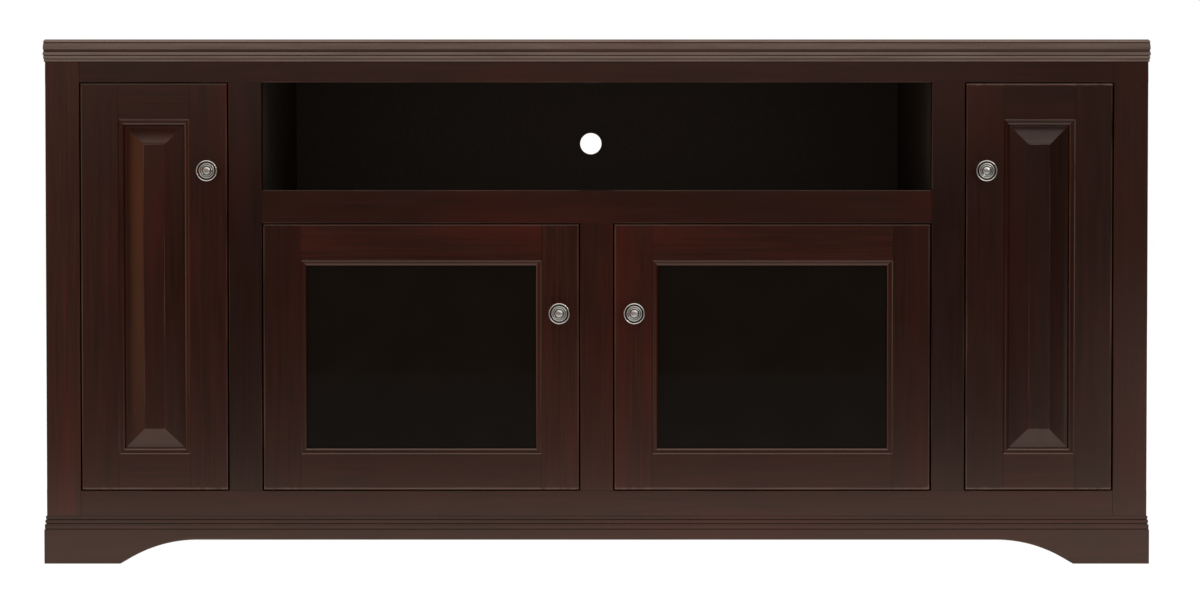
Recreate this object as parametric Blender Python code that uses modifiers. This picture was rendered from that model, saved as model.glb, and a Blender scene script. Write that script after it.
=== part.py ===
"""A television console built as a face-frame cabinet with inset doors.

Units are metres, +Z is up and +X runs along the cabinet's width.
The front faces -Y and the floor is Z = 0. The origin lies under the middle of
the cabinet's outer box, door knobs included.
"""

import math

import bmesh
import bpy
import numpy as np

# Fits
FIT = 0.0003
DOOR_GAP = 0.0025
DOOR_PROUD = 0.002

# Cabinet box
CABINET_WIDTH = 1.668
CABINET_DEPTH = 0.470
CABINET_HEIGHT = 0.794
PANEL_THICKNESS = 0.018
HOUSING_DEPTH = 0.005
BOTTOM_PANEL_DROP = 0.003
BACK_THICKNESS = 0.006
BACK_RABBET = 0.009
CABLE_HOLE_DIAMETER = 0.036
CABLE_HOLE_OFFSET = -0.0105
CABLE_HOLE_RISE = 0.006
SIDE_SHELF_TOP = 0.420
CENTRE_SHELF_TOP = 0.310
SHELF_SETBACK = 0.060

# Face frame
FRAME_THICKNESS = 0.019
OUTER_STILE_WIDTH = 0.0515
INNER_STILE_WIDTH = 0.050
MULLION_WIDTH = 0.050
TOP_RAIL_WIDTH = 0.046
MIDDLE_RAIL_WIDTH = 0.050
BOTTOM_RAIL_WIDTH = 0.0585
SIDE_OPENING_WIDTH = 0.2255
MEDIA_BAY_HEIGHT = 0.163
TENON_LENGTH = 0.012
TENON_THICKNESS = 0.007
TENON_SHOULDER = 0.006

# Top board and the reeded moulding under it
TOP_THICKNESS = 0.0185
TOP_OVERHANG = 0.003
TOP_GROOVE_HEIGHT = 0.0032
TOP_GROOVE_DEPTH = 0.0045
TOP_BAND_CHAMFER = 0.0016
TOP_QUIRK_HEIGHT = 0.0125
TOP_QUIRK_DEPTH = 0.0014
TOP_NOSING_RADIUS = 0.0035
TOP_NOSING_SET = 0.0005
MOULDING_PROJECTION = 0.003
MOULDING_REEDS = (0.004, 0.0055, 0.0055)

# Base frame with bracket feet
BASE_PROJECTION = 0.0035
BASE_THICKNESS = 0.022
BASE_LEDGE = 0.052
BASE_REEDS = (0.009, 0.0065, 0.0055)
FRONT_FOOT_WIDTH = 0.115
SIDE_FOOT_WIDTH = 0.075
FOOT_SLOPE = math.radians(30)
FOOT_SLOPE_RISE = 0.0097
ARCH_RADIUS = 0.200

# Reeds of both mouldings
REED_STEP = 0.0007
REED_BULGE = 0.0009

# Doors
DOOR_THICKNESS = 0.020
DOOR_STILE_FACE = 0.056
DOOR_RAIL_FACE = 0.053
DOOR_EASING = 0.0015
STICKING_WIDTH = 0.009
STICKING_DEPTH = 0.007
STICKING_CHAMFER = 0.0022
STICKING_FLAT = 0.0016
STICKING_LIP = 0.001
GROOVE_DEPTH = 0.010
GROOVE_PLAY = 0.0015
TONGUE_THICKNESS = 0.0055
BEVEL_WIDTH = 0.029
FIELD_SET = 0.0008
FIELD_STEP = 0.001
GLASS_THICKNESS = 0.004

# Pivot pins
PIVOT_INSET = 0.014
PIVOT_SETBACK = 0.009
PIN_DIAMETER = 0.005
PIN_COLLAR_DIAMETER = 0.010
PIN_RAIL_LENGTH = 0.012
PIN_DOOR_LENGTH = 0.014

# Knobs
KNOB_DIAMETER = 0.031
KNOB_PROJECTION = 0.027
KNOB_STEM_DIAMETER = 0.011
KNOB_FOOT_DIAMETER = 0.017
KNOB_FOOT_HEIGHT = 0.003
KNOB_RIM_HEIGHT = 0.003
KNOB_NECK_HEIGHT = 0.010
KNOB_DOME_RADIUS = 0.006
KNOB_DOME_RISE = 0.0022
KNOB_GROOVE_DEPTH = 0.0012
KNOB_RING_WIDTH = 0.0037
SIDE_KNOB_INSET = 0.027
SIDE_KNOB_HEIGHT = 0.595
GLASS_KNOB_INSET = 0.029
GLASS_KNOB_HEIGHT = 0.380

# Facet counts of the round pieces
PIN_STEPS = 16
KNOB_STEPS = 32
HOLE_STEPS = 40
ARC_STEPS = 6
DOME_STEPS = 3
EASING_STEPS = 3

# How far a cutter runs past the face it enters, and how near points or depths count as one
CUT_MARGIN = 0.010
SAME_POINT = 0.000001
DEPTH_DIGITS = 6

# Places worked out from the sizes
HALF_WIDTH = CABINET_WIDTH / 2
FRONT = (DOOR_PROUD + KNOB_PROJECTION - CABINET_DEPTH) / 2
BACK = FRONT + CABINET_DEPTH
FRAME_BACK = FRONT + FRAME_THICKNESS
CARCASS_FRONT = FRAME_BACK + FIT
CARCASS_BACK = BACK - BACK_THICKNESS - FIT
CARCASS_BOTTOM = BASE_LEDGE + FIT
CARCASS_TOP = CABINET_HEIGHT - TOP_THICKNESS - FIT
BOTTOM_RAIL_TOP = CARCASS_BOTTOM + BOTTOM_RAIL_WIDTH
TOP_RAIL_BOTTOM = CARCASS_TOP - TOP_RAIL_WIDTH
MIDDLE_RAIL_TOP = TOP_RAIL_BOTTOM - MEDIA_BAY_HEIGHT
MIDDLE_RAIL_BOTTOM = MIDDLE_RAIL_TOP - MIDDLE_RAIL_WIDTH
SIDE_OPENING_OUTER = HALF_WIDTH - OUTER_STILE_WIDTH
SIDE_OPENING_INNER = SIDE_OPENING_OUTER - SIDE_OPENING_WIDTH
BAY_HALF = SIDE_OPENING_INNER - INNER_STILE_WIDTH
MULLION_HALF = MULLION_WIDTH / 2
SIDE_INNER_FACE = HALF_WIDTH - PANEL_THICKNESS
DIVIDER_OUTER_FACE = BAY_HALF + PANEL_THICKNESS
BOTTOM_PANEL_TOP = BOTTOM_RAIL_TOP - BOTTOM_PANEL_DROP
BOTTOM_PANEL_UNDERSIDE = BOTTOM_PANEL_TOP - PANEL_THICKNESS
MEDIA_SHELF_UNDERSIDE = MIDDLE_RAIL_TOP - PANEL_THICKNESS
SHELF_FRONT = CARCASS_FRONT + SHELF_SETBACK
PIVOT_Y = FRONT - DOOR_PROUD + PIVOT_SETBACK
ROOM_FOR_GROOVE = HOUSING_DEPTH + FIT

# Finishes as linear colour, roughness and metallic value
ESPRESSO_LACQUER = ((0.036, 0.016, 0.012), 0.32, 0.0)
STAINED_INTERIOR = ((0.018, 0.011, 0.009), 0.55, 0.0)
SMOKED_GLASS = ((0.008, 0.007, 0.006), 0.06, 0.0)
ANTIQUE_PEWTER = ((0.36, 0.34, 0.31), 0.38, 1.0)
ZINC_STEEL = ((0.52, 0.53, 0.54), 0.30, 1.0)

for old_object in list(bpy.data.objects):
    bpy.data.objects.remove(old_object, do_unlink=True)

console = bpy.data.collections.new("tv_console")
cutters = bpy.data.collections.new("cutters")
bpy.context.scene.collection.children.link(console)
bpy.context.scene.collection.children.link(cutters)


def coat(part, finish):
    """Give a part its own material from a finish."""
    colour, roughness, metallic = finish
    material = bpy.data.materials.new(f"{part.name}_finish")
    material.use_nodes = True
    shader = material.node_tree.nodes["Principled BSDF"]
    shader.inputs["Base Color"].default_value = (*colour, 1.0)
    shader.inputs["Roughness"].default_value = roughness
    shader.inputs["Metallic"].default_value = metallic
    part.data.materials.append(material)


def keep_in(collection, thing):
    """Move an object out of its present collections into one of ours."""
    for owner in list(thing.users_collection):
        owner.objects.unlink(thing)
    collection.objects.link(thing)


def box(low, high):
    """A cube primitive stretched between two corners, with its scale applied."""
    centre = [(a + b) / 2 for a, b in zip(low, high)]
    bpy.ops.mesh.primitive_cube_add(size=1.0, location=centre)
    block = bpy.context.object
    block.scale = [b - a for a, b in zip(low, high)]
    bpy.ops.object.transform_apply(location=False, rotation=False, scale=True)
    return block


def board(name, low, high, finish):
    """A plain rectangular board between two corners."""
    part = box(low, high)
    part.name = name
    part.data.name = name
    keep_in(console, part)
    coat(part, finish)
    return part


def loft(name, sections, finish, parent=None):
    """A closed solid skinned through sections that have equally many points."""
    mesh = bpy.data.meshes.new(name)
    solid = bmesh.new()
    rings = [[solid.verts.new(point) for point in section] for section in sections]
    for ring, following in zip(rings, rings[1:]):
        for i in range(len(ring)):
            j = (i + 1) % len(ring)
            solid.faces.new((ring[i], ring[j], following[j], following[i]))
    solid.faces.new(rings[0])
    solid.faces.new(rings[-1])
    bmesh.ops.remove_doubles(solid, verts=solid.verts, dist=SAME_POINT)
    bmesh.ops.dissolve_degenerate(solid, edges=solid.edges, dist=SAME_POINT)
    bmesh.ops.recalc_face_normals(solid, faces=solid.faces)
    solid.to_mesh(mesh)
    solid.free()
    part = bpy.data.objects.new(name, mesh)
    part.parent = parent
    console.objects.link(part)
    coat(part, finish)
    return part


def turned(name, profile, steps, finish, parent=None):
    """A turned piece: (radius, height) points from top to bottom, spun about Z."""
    mesh = bpy.data.meshes.new(name)
    points = [(radius, 0.0, height) for radius, height in profile]
    mesh.from_pydata(points, [(i, i + 1) for i in range(len(points) - 1)], [])
    part = bpy.data.objects.new(name, mesh)
    part.parent = parent
    console.objects.link(part)
    coat(part, finish)
    spin = part.modifiers.new("Turn", "SCREW")
    spin.axis = "Z"
    spin.steps = steps
    spin.render_steps = steps
    spin.use_merge_vertices = True
    spin.merge_threshold = SAME_POINT
    return part


def cut(part, cutter):
    """Take a cutter's shape out of a part."""
    cutter.name = f"cut_{part.name}"
    cutter.hide_render = True
    cutter.display_type = "WIRE"
    keep_in(cutters, cutter)
    modifier = part.modifiers.new("Cut", "BOOLEAN")
    modifier.operation = "DIFFERENCE"
    modifier.solver = "EXACT"
    modifier.object = cutter


def bore(part, x, y, low, high, diameter, steps):
    """Drill a vertical hole."""
    bpy.ops.mesh.primitive_cylinder_add(
        vertices=steps, radius=diameter / 2, depth=high - low, location=(x, y, (low + high) / 2)
    )
    cut(part, bpy.context.object)


def arc(centre, radius, start, end, steps=ARC_STEPS):
    """Points along a circular arc, both ends included, angles in radians."""
    return [
        (centre[0] + radius * math.cos(angle), centre[1] + radius * math.sin(angle))
        for angle in np.linspace(start, end, steps + 1)
    ]


def mirrored(low, high):
    """The same box on the other side of the cabinet's middle."""
    return (-high[0], low[1], low[2]), (-low[0], high[1], high[2])


# Top board: rectangles stacked up its moulded edge, which runs along the front and both ends
nosing_centre = (TOP_NOSING_SET + TOP_NOSING_RADIUS, TOP_THICKNESS - TOP_NOSING_RADIUS)
top_edge = [
    (TOP_GROOVE_DEPTH, 0.0),
    (TOP_GROOVE_DEPTH, TOP_GROOVE_HEIGHT),
    (TOP_BAND_CHAMFER, TOP_GROOVE_HEIGHT),
    (0.0, TOP_GROOVE_HEIGHT + TOP_BAND_CHAMFER),
    (0.0, TOP_QUIRK_HEIGHT),
    (TOP_QUIRK_DEPTH, TOP_QUIRK_HEIGHT + TOP_QUIRK_DEPTH / 2),
    (TOP_NOSING_SET, TOP_QUIRK_HEIGHT + TOP_QUIRK_DEPTH),
]
top_edge += arc(nosing_centre, TOP_NOSING_RADIUS, math.pi, math.pi / 2)
top_half = HALF_WIDTH + TOP_OVERHANG
top_front = FRONT - TOP_OVERHANG
top_sections = [
    [
        (-top_half + inset, top_front + inset, CARCASS_TOP + FIT + rise),
        (top_half - inset, top_front + inset, CARCASS_TOP + FIT + rise),
        (top_half - inset, BACK, CARCASS_TOP + FIT + rise),
        (-top_half + inset, BACK, CARCASS_TOP + FIT + rise),
    ]
    for inset, rise in top_edge
]
loft("top_board", top_sections, ESPRESSO_LACQUER)


def reeds(heights, bottom, projection, growing_up):
    """Outline of stacked reeds, from the lowest up, each a step further out or in than the last."""
    outline = []
    level = bottom
    for i, height in enumerate(heights):
        steps_in = len(heights) - 1 - i if growing_up else i
        root = projection - steps_in * REED_STEP - REED_BULGE
        for angle in np.linspace(-math.pi / 2, math.pi / 2, ARC_STEPS + 1):
            reach = root + REED_BULGE * math.cos(angle)
            outline.append((reach, level + height * (1 + math.sin(angle)) / 2))
        level += height
    return outline


def mitred_frame(prefix, section):
    """Front and side sticks of one section of (outward reach, height), mitred at the front corners."""
    mitre_gap = FIT * math.sqrt(2)
    front = [
        [(side * (HALF_WIDTH + reach), FRONT - reach, height) for reach, height in section]
        for side in (-1, 1)
    ]
    sticks = {"front": loft(f"{prefix}_front", front, ESPRESSO_LACQUER)}
    for side, label in ((-1, "left"), (1, "right")):
        ends = [
            [(side * (HALF_WIDTH + reach), FRONT - reach + mitre_gap, height) for reach, height in section],
            [(side * (HALF_WIDTH + reach), BACK, height) for reach, height in section],
        ]
        sticks[label] = loft(f"{prefix}_{label}", ends, ESPRESSO_LACQUER)
    return sticks


# Moulding under the top: three reeds that step out towards the top
moulding_bottom = CARCASS_TOP - sum(MOULDING_REEDS)
moulding_section = [(FIT, CARCASS_TOP), (FIT, moulding_bottom)]
moulding_section += reeds(MOULDING_REEDS, moulding_bottom, MOULDING_PROJECTION, True)
mitred_frame("top_moulding", moulding_section)

# Base frame: rabbeted boards that carry the cabinet, reeds that step in towards the top, arched feet
base_inner = BASE_PROJECTION - BASE_THICKNESS
base_section = [
    (FIT, BASE_LEDGE + sum(BASE_REEDS)),
    (FIT, BASE_LEDGE),
    (base_inner, BASE_LEDGE),
    (base_inner, 0.0),
    (BASE_PROJECTION, 0.0),
    (BASE_PROJECTION, BASE_LEDGE),
]
base_section += reeds(BASE_REEDS, BASE_LEDGE, BASE_PROJECTION - REED_STEP, False)
base = mitred_frame("base", base_section)


def arch_cutter(half_span):
    """The space between two bracket feet: a slope, an arc and a flat, then the same mirrored."""
    slope_run = FOOT_SLOPE_RISE / math.tan(FOOT_SLOPE)
    arc_x = -half_span + slope_run + ARCH_RADIUS * math.sin(FOOT_SLOPE)
    arc_z = FOOT_SLOPE_RISE - ARCH_RADIUS * math.cos(FOOT_SLOPE)
    rise = [(-half_span, -CUT_MARGIN), (-half_span, 0.0)]
    rise += arc((arc_x, arc_z), ARCH_RADIUS, math.pi / 2 + FOOT_SLOPE, math.pi / 2)
    outline = rise + [(-x, z) for x, z in reversed(rise)]
    curve = bpy.data.curves.new("arch", "CURVE")
    curve.dimensions = "2D"
    curve.fill_mode = "BOTH"
    curve.extrude = BASE_THICKNESS / 2 + CUT_MARGIN
    spline = curve.splines.new("POLY")
    spline.points.add(len(outline) - 1)
    spline.use_cyclic_u = True
    for point, (x, z) in zip(spline.points, outline):
        point.co = (x, z, 0.0, 1.0)
    drawn = bpy.data.objects.new("arch_curve", curve)
    cutters.objects.link(drawn)
    bpy.context.view_layer.update()
    mesh = bpy.data.meshes.new_from_object(drawn.evaluated_get(bpy.context.evaluated_depsgraph_get()))
    bpy.data.objects.remove(drawn, do_unlink=True)
    shell = bmesh.new()
    shell.from_mesh(mesh)
    bmesh.ops.remove_doubles(shell, verts=shell.verts, dist=SAME_POINT)
    bmesh.ops.recalc_face_normals(shell, faces=shell.faces)
    shell.to_mesh(mesh)
    shell.free()
    solid = bpy.data.objects.new("arch", mesh)
    cutters.objects.link(solid)
    return solid


base_middle = (BASE_PROJECTION + base_inner) / 2
front_arch = arch_cutter(HALF_WIDTH + BASE_PROJECTION - FRONT_FOOT_WIDTH)
front_arch.rotation_euler = (math.pi / 2, 0.0, 0.0)
front_arch.location = (0.0, FRONT - base_middle, 0.0)
cut(base["front"], front_arch)
for side, label in ((-1, "left"), (1, "right")):
    side_arch = arch_cutter((CABINET_DEPTH + BASE_PROJECTION) / 2 - SIDE_FOOT_WIDTH)
    side_arch.rotation_euler = (math.pi / 2, 0.0, math.pi / 2)
    side_arch.location = (side * (HALF_WIDTH + base_middle), (FRONT - BASE_PROJECTION + BACK) / 2, 0.0)
    cut(base[label], side_arch)
base_back_half = HALF_WIDTH + base_inner - FIT
board(
    "base_back",
    (-base_back_half, BACK - PANEL_THICKNESS, 0.0),
    (base_back_half, BACK, BASE_LEDGE),
    ESPRESSO_LACQUER,
)

# Side panels: grooved for the bottom panel and a shelf, rabbeted at the rear for the back panel
for side, label in ((-1, "left"), (1, "right")):
    corners = ((SIDE_INNER_FACE, CARCASS_FRONT, CARCASS_BOTTOM), (HALF_WIDTH, BACK, CARCASS_TOP))
    grooves = [
        (
            (SIDE_INNER_FACE - CUT_MARGIN, CARCASS_FRONT - CUT_MARGIN, BOTTOM_PANEL_UNDERSIDE - FIT),
            (SIDE_INNER_FACE + ROOM_FOR_GROOVE, BACK + CUT_MARGIN, BOTTOM_PANEL_TOP + FIT),
        ),
        (
            (SIDE_INNER_FACE - CUT_MARGIN, SHELF_FRONT - FIT, SIDE_SHELF_TOP - PANEL_THICKNESS - FIT),
            (SIDE_INNER_FACE + ROOM_FOR_GROOVE, BACK + CUT_MARGIN, SIDE_SHELF_TOP + FIT),
        ),
        (
            (SIDE_INNER_FACE - CUT_MARGIN, CARCASS_BACK, CARCASS_BOTTOM - CUT_MARGIN),
            (SIDE_INNER_FACE + BACK_RABBET + FIT, BACK + CUT_MARGIN, CARCASS_TOP + CUT_MARGIN),
        ),
    ]
    if side < 0:
        corners = mirrored(*corners)
        grooves = [mirrored(*groove) for groove in grooves]
    panel = board(f"{label}_side_panel", *corners, ESPRESSO_LACQUER)
    for groove in grooves:
        cut(panel, box(*groove))

# Bottom panel: housed in both side panels, grooved on top for the dividers and the centre partition
bottom_half = SIDE_INNER_FACE + HOUSING_DEPTH
bottom_panel = board(
    "bottom_panel",
    (-bottom_half, CARCASS_FRONT, BOTTOM_PANEL_UNDERSIDE),
    (bottom_half, CARCASS_BACK, BOTTOM_PANEL_TOP),
    STAINED_INTERIOR,
)
divider_middle = BAY_HALF + PANEL_THICKNESS / 2
for middle in (-divider_middle, 0.0, divider_middle):
    reach = PANEL_THICKNESS / 2 + FIT
    groove = box(
        (middle - reach, CARCASS_FRONT - CUT_MARGIN, BOTTOM_PANEL_TOP - ROOM_FOR_GROOVE),
        (middle + reach, CARCASS_BACK + CUT_MARGIN, BOTTOM_PANEL_TOP + CUT_MARGIN),
    )
    cut(bottom_panel, groove)

# Dividers: stand in the bottom panel, grooved for the media shelf and the shelves on either side
for side, label in ((-1, "left"), (1, "right")):
    corners = (
        (BAY_HALF, CARCASS_FRONT, BOTTOM_PANEL_TOP - HOUSING_DEPTH),
        (DIVIDER_OUTER_FACE, CARCASS_BACK, CARCASS_TOP),
    )
    grooves = [
        (
            (BAY_HALF - CUT_MARGIN, CARCASS_FRONT - CUT_MARGIN, MEDIA_SHELF_UNDERSIDE - FIT),
            (BAY_HALF + ROOM_FOR_GROOVE, CARCASS_BACK + CUT_MARGIN, MIDDLE_RAIL_TOP + FIT),
        ),
        (
            (BAY_HALF - CUT_MARGIN, SHELF_FRONT - FIT, CENTRE_SHELF_TOP - PANEL_THICKNESS - FIT),
            (BAY_HALF + ROOM_FOR_GROOVE, CARCASS_BACK + CUT_MARGIN, CENTRE_SHELF_TOP + FIT),
        ),
        (
            (DIVIDER_OUTER_FACE - ROOM_FOR_GROOVE, SHELF_FRONT - FIT, SIDE_SHELF_TOP - PANEL_THICKNESS - FIT),
            (DIVIDER_OUTER_FACE + CUT_MARGIN, CARCASS_BACK + CUT_MARGIN, SIDE_SHELF_TOP + FIT),
        ),
    ]
    if side < 0:
        corners = mirrored(*corners)
        grooves = [mirrored(*groove) for groove in grooves]
    divider = board(f"{label}_divider", *corners, STAINED_INTERIOR)
    for groove in grooves:
        cut(divider, box(*groove))

# Media shelf: the floor of the open bay, housed in the dividers, grooved underneath for the partition
media_half = BAY_HALF + HOUSING_DEPTH
media_shelf = board(
    "media_shelf",
    (-media_half, CARCASS_FRONT, MEDIA_SHELF_UNDERSIDE),
    (media_half, CARCASS_BACK, MIDDLE_RAIL_TOP),
    STAINED_INTERIOR,
)
partition_half = PANEL_THICKNESS / 2
partition_groove = box(
    (-partition_half - FIT, CARCASS_FRONT - CUT_MARGIN, MEDIA_SHELF_UNDERSIDE - CUT_MARGIN),
    (partition_half + FIT, CARCASS_BACK + CUT_MARGIN, MEDIA_SHELF_UNDERSIDE + ROOM_FOR_GROOVE),
)
cut(media_shelf, partition_groove)

# Centre partition: carries the media shelf at mid span and the inner ends of the centre shelves
partition = board(
    "centre_partition",
    (-partition_half, CARCASS_FRONT, BOTTOM_PANEL_TOP - HOUSING_DEPTH),
    (partition_half, CARCASS_BACK, MEDIA_SHELF_UNDERSIDE + HOUSING_DEPTH),
    STAINED_INTERIOR,
)
shelf_slot = (
    (partition_half - ROOM_FOR_GROOVE, SHELF_FRONT - FIT, CENTRE_SHELF_TOP - PANEL_THICKNESS - FIT),
    (partition_half + CUT_MARGIN, CARCASS_BACK + CUT_MARGIN, CENTRE_SHELF_TOP + FIT),
)
cut(partition, box(*shelf_slot))
cut(partition, box(*mirrored(*shelf_slot)))

# Shelves behind the doors, housed at both ends
shelf_spans = {
    "side_shelf": (
        (DIVIDER_OUTER_FACE - HOUSING_DEPTH, SHELF_FRONT, SIDE_SHELF_TOP - PANEL_THICKNESS),
        (SIDE_INNER_FACE + HOUSING_DEPTH, CARCASS_BACK, SIDE_SHELF_TOP),
    ),
    "centre_shelf": (
        (partition_half - HOUSING_DEPTH, SHELF_FRONT, CENTRE_SHELF_TOP - PANEL_THICKNESS),
        (BAY_HALF + HOUSING_DEPTH, CARCASS_BACK, CENTRE_SHELF_TOP),
    ),
}
for label, span in shelf_spans.items():
    board(f"left_{label}", *mirrored(*span), STAINED_INTERIOR)
    board(f"right_{label}", *span, STAINED_INTERIOR)

# Back panel: sits in the rabbets of the side panels and has the cable hole behind the media bay
back_half = SIDE_INNER_FACE + BACK_RABBET
back_panel = board(
    "back_panel",
    (-back_half, BACK - BACK_THICKNESS, CARCASS_BOTTOM),
    (back_half, BACK, CARCASS_TOP),
    STAINED_INTERIOR,
)
bay_middle = (MIDDLE_RAIL_TOP + TOP_RAIL_BOTTOM) / 2
bpy.ops.mesh.primitive_cylinder_add(
    vertices=HOLE_STEPS,
    radius=CABLE_HOLE_DIAMETER / 2,
    depth=BACK_THICKNESS + 2 * CUT_MARGIN,
    location=(CABLE_HOLE_OFFSET, BACK - BACK_THICKNESS / 2, bay_middle + CABLE_HOLE_RISE),
    rotation=(math.pi / 2, 0.0, 0.0),
)
cut(back_panel, bpy.context.object)

# Face frame: rails and stiles with stub tenons in stopped mortises
TENON_FRONT = FRONT + (FRAME_THICKNESS - TENON_THICKNESS) / 2
TENON_BACK = TENON_FRONT + TENON_THICKNESS


def tenoned_member(name, across, along, upright):
    """A frame member with a tenon on each end, skinned along its length.

    across and along hold the member's two edges and its two shoulders.
    """

    def rectangle(position, edges, faces):
        corners = [
            (edges[0], faces[0]), (edges[1], faces[0]), (edges[1], faces[1]), (edges[0], faces[1]),
        ]
        if upright:
            return [(edge, face, position) for edge, face in corners]
        return [(position, face, edge) for edge, face in corners]

    low, high = along
    cheeks = (TENON_FRONT, TENON_BACK)
    faces = (FRONT, FRAME_BACK)
    tenon = (across[0] + TENON_SHOULDER, across[1] - TENON_SHOULDER)
    sections = [
        rectangle(low - TENON_LENGTH, tenon, cheeks),
        rectangle(low, tenon, cheeks),
        rectangle(low, across, faces),
        rectangle(high, across, faces),
        rectangle(high, tenon, cheeks),
        rectangle(high + TENON_LENGTH, tenon, cheeks),
    ]
    return loft(name, sections, ESPRESSO_LACQUER)


def mortise(part, across, joint, upright):
    """Cut the mortise for a member whose edges are across and whose shoulder meets the part at joint.

    The mortise reaches one tenon length to either side of the joint, so one call serves both ends.
    """
    reach = TENON_LENGTH + FIT * 2
    low = (across[0] + TENON_SHOULDER - FIT, joint - reach)
    high = (across[1] - TENON_SHOULDER + FIT, joint + reach)
    if not upright:
        low = (low[1], low[0])
        high = (high[1], high[0])
    cut(part, box((low[0], TENON_FRONT - FIT, low[1]), (high[0], TENON_BACK + FIT, high[1])))


top_rail_edges = (TOP_RAIL_BOTTOM, CARCASS_TOP)
middle_rail_edges = (MIDDLE_RAIL_BOTTOM, MIDDLE_RAIL_TOP)
bottom_rail_edges = (CARCASS_BOTTOM, BOTTOM_RAIL_TOP)
inner_stile_edges = {-1: (-SIDE_OPENING_INNER, -BAY_HALF), 1: (BAY_HALF, SIDE_OPENING_INNER)}
mullion_edges = (-MULLION_HALF, MULLION_HALF)

long_rail = (-SIDE_OPENING_OUTER + FIT, SIDE_OPENING_OUTER - FIT)
top_rail = tenoned_member("face_rail_top", top_rail_edges, long_rail, False)
bottom_rail = tenoned_member("face_rail_bottom", bottom_rail_edges, long_rail, False)
middle_rail = tenoned_member("face_rail_middle", middle_rail_edges, (-BAY_HALF + FIT, BAY_HALF - FIT), False)
mullion_span = (BOTTOM_RAIL_TOP + FIT, MIDDLE_RAIL_BOTTOM - FIT)
mullion = tenoned_member("face_mullion", mullion_edges, mullion_span, True)
mortise(bottom_rail, mullion_edges, BOTTOM_RAIL_TOP, True)
mortise(middle_rail, mullion_edges, MIDDLE_RAIL_BOTTOM, True)
for side, label in ((-1, "left"), (1, "right")):
    outer_stile = board(
        f"face_stile_{label}",
        (min(side * SIDE_OPENING_OUTER, side * HALF_WIDTH), FRONT, CARCASS_BOTTOM),
        (max(side * SIDE_OPENING_OUTER, side * HALF_WIDTH), FRAME_BACK, CARCASS_TOP),
        ESPRESSO_LACQUER,
    )
    mortise(outer_stile, top_rail_edges, side * SIDE_OPENING_OUTER, False)
    mortise(outer_stile, bottom_rail_edges, side * SIDE_OPENING_OUTER, False)
    edges = inner_stile_edges[side]
    inner_span = (BOTTOM_RAIL_TOP + FIT, TOP_RAIL_BOTTOM - FIT)
    inner_stile = tenoned_member(f"face_stile_inner_{label}", edges, inner_span, True)
    mortise(inner_stile, middle_rail_edges, side * BAY_HALF, False)
    mortise(top_rail, edges, TOP_RAIL_BOTTOM, True)
    mortise(bottom_rail, edges, BOTTOM_RAIL_TOP, True)


# Door frames: cope-and-stick sticks cut from one shared sticking profile
def sticking_profile(groove_width):
    """Reach of a stick's inner edge at each depth from the face.

    A chamfer, a flat and a quarter-round bead, then the groove and the square rear lip.
    """
    bead_width = STICKING_WIDTH - STICKING_CHAMFER - STICKING_FLAT
    bead_depth = STICKING_DEPTH - STICKING_CHAMFER - STICKING_LIP
    profile = [(0.0, 0.0), (STICKING_CHAMFER, STICKING_CHAMFER)]
    for turn in np.linspace(0.0, math.pi / 2, ARC_STEPS + 1):
        depth = STICKING_CHAMFER + bead_depth * (1 - math.cos(turn))
        profile.append((depth, STICKING_CHAMFER + STICKING_FLAT + bead_width * math.sin(turn)))
    groove_bottom = STICKING_WIDTH - GROOVE_DEPTH
    groove_back = STICKING_DEPTH + groove_width
    profile += [
        (STICKING_DEPTH, STICKING_WIDTH),
        (STICKING_DEPTH, groove_bottom),
        (groove_back, groove_bottom),
        (groove_back, STICKING_WIDTH),
        (DOOR_THICKNESS, STICKING_WIDTH),
    ]
    return profile


def coped(profile):
    """The profile moved outward by the fit all along, for the end that is coped over it."""
    points = np.array(profile)
    runs = np.diff(points, axis=0)
    runs /= np.linalg.norm(runs, axis=1)[:, None]
    normals = np.column_stack((-runs[:, 1], runs[:, 0]))
    before = np.vstack((normals[:1], normals))
    after = np.vstack((normals, normals[-1:]))
    spread = 1 + np.sum(before * after, axis=1)
    moved = points + FIT * (before + after) / spread[:, None]
    return [(round(depth, DEPTH_DIGITS), reach) for depth, reach in moved]


def limits(profile, depth):
    """A profile's reach just in front of and just behind a depth."""
    exact = [reach for level, reach in profile if abs(level - depth) < SAME_POINT]
    if exact:
        return exact[0], exact[-1]
    value = np.interp(depth, [level for level, _ in profile], [reach for _, reach in profile])
    return value, value


def stack(profiles):
    """Depths with the reach of each profile there, two rows where any profile steps."""
    depths = sorted({round(level, DEPTH_DIGITS) for profile in profiles for level, _ in profile})
    rows = []
    for depth in depths:
        if not 0.0 <= depth <= DOOR_THICKNESS:
            continue
        pairs = [limits(profile, depth) for profile in profiles]
        front = [pair[0] for pair in pairs]
        behind = [pair[1] for pair in pairs]
        rows.append((depth, front))
        if front != behind:
            rows.append((depth, behind))
    return rows


eased_arc = arc((DOOR_EASING, DOOR_EASING), DOOR_EASING, -math.pi / 2, -math.pi, EASING_STEPS)
EASED_EDGE = [(depth, inset) for inset, depth in eased_arc] + [(DOOR_THICKNESS, 0.0)]


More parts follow.
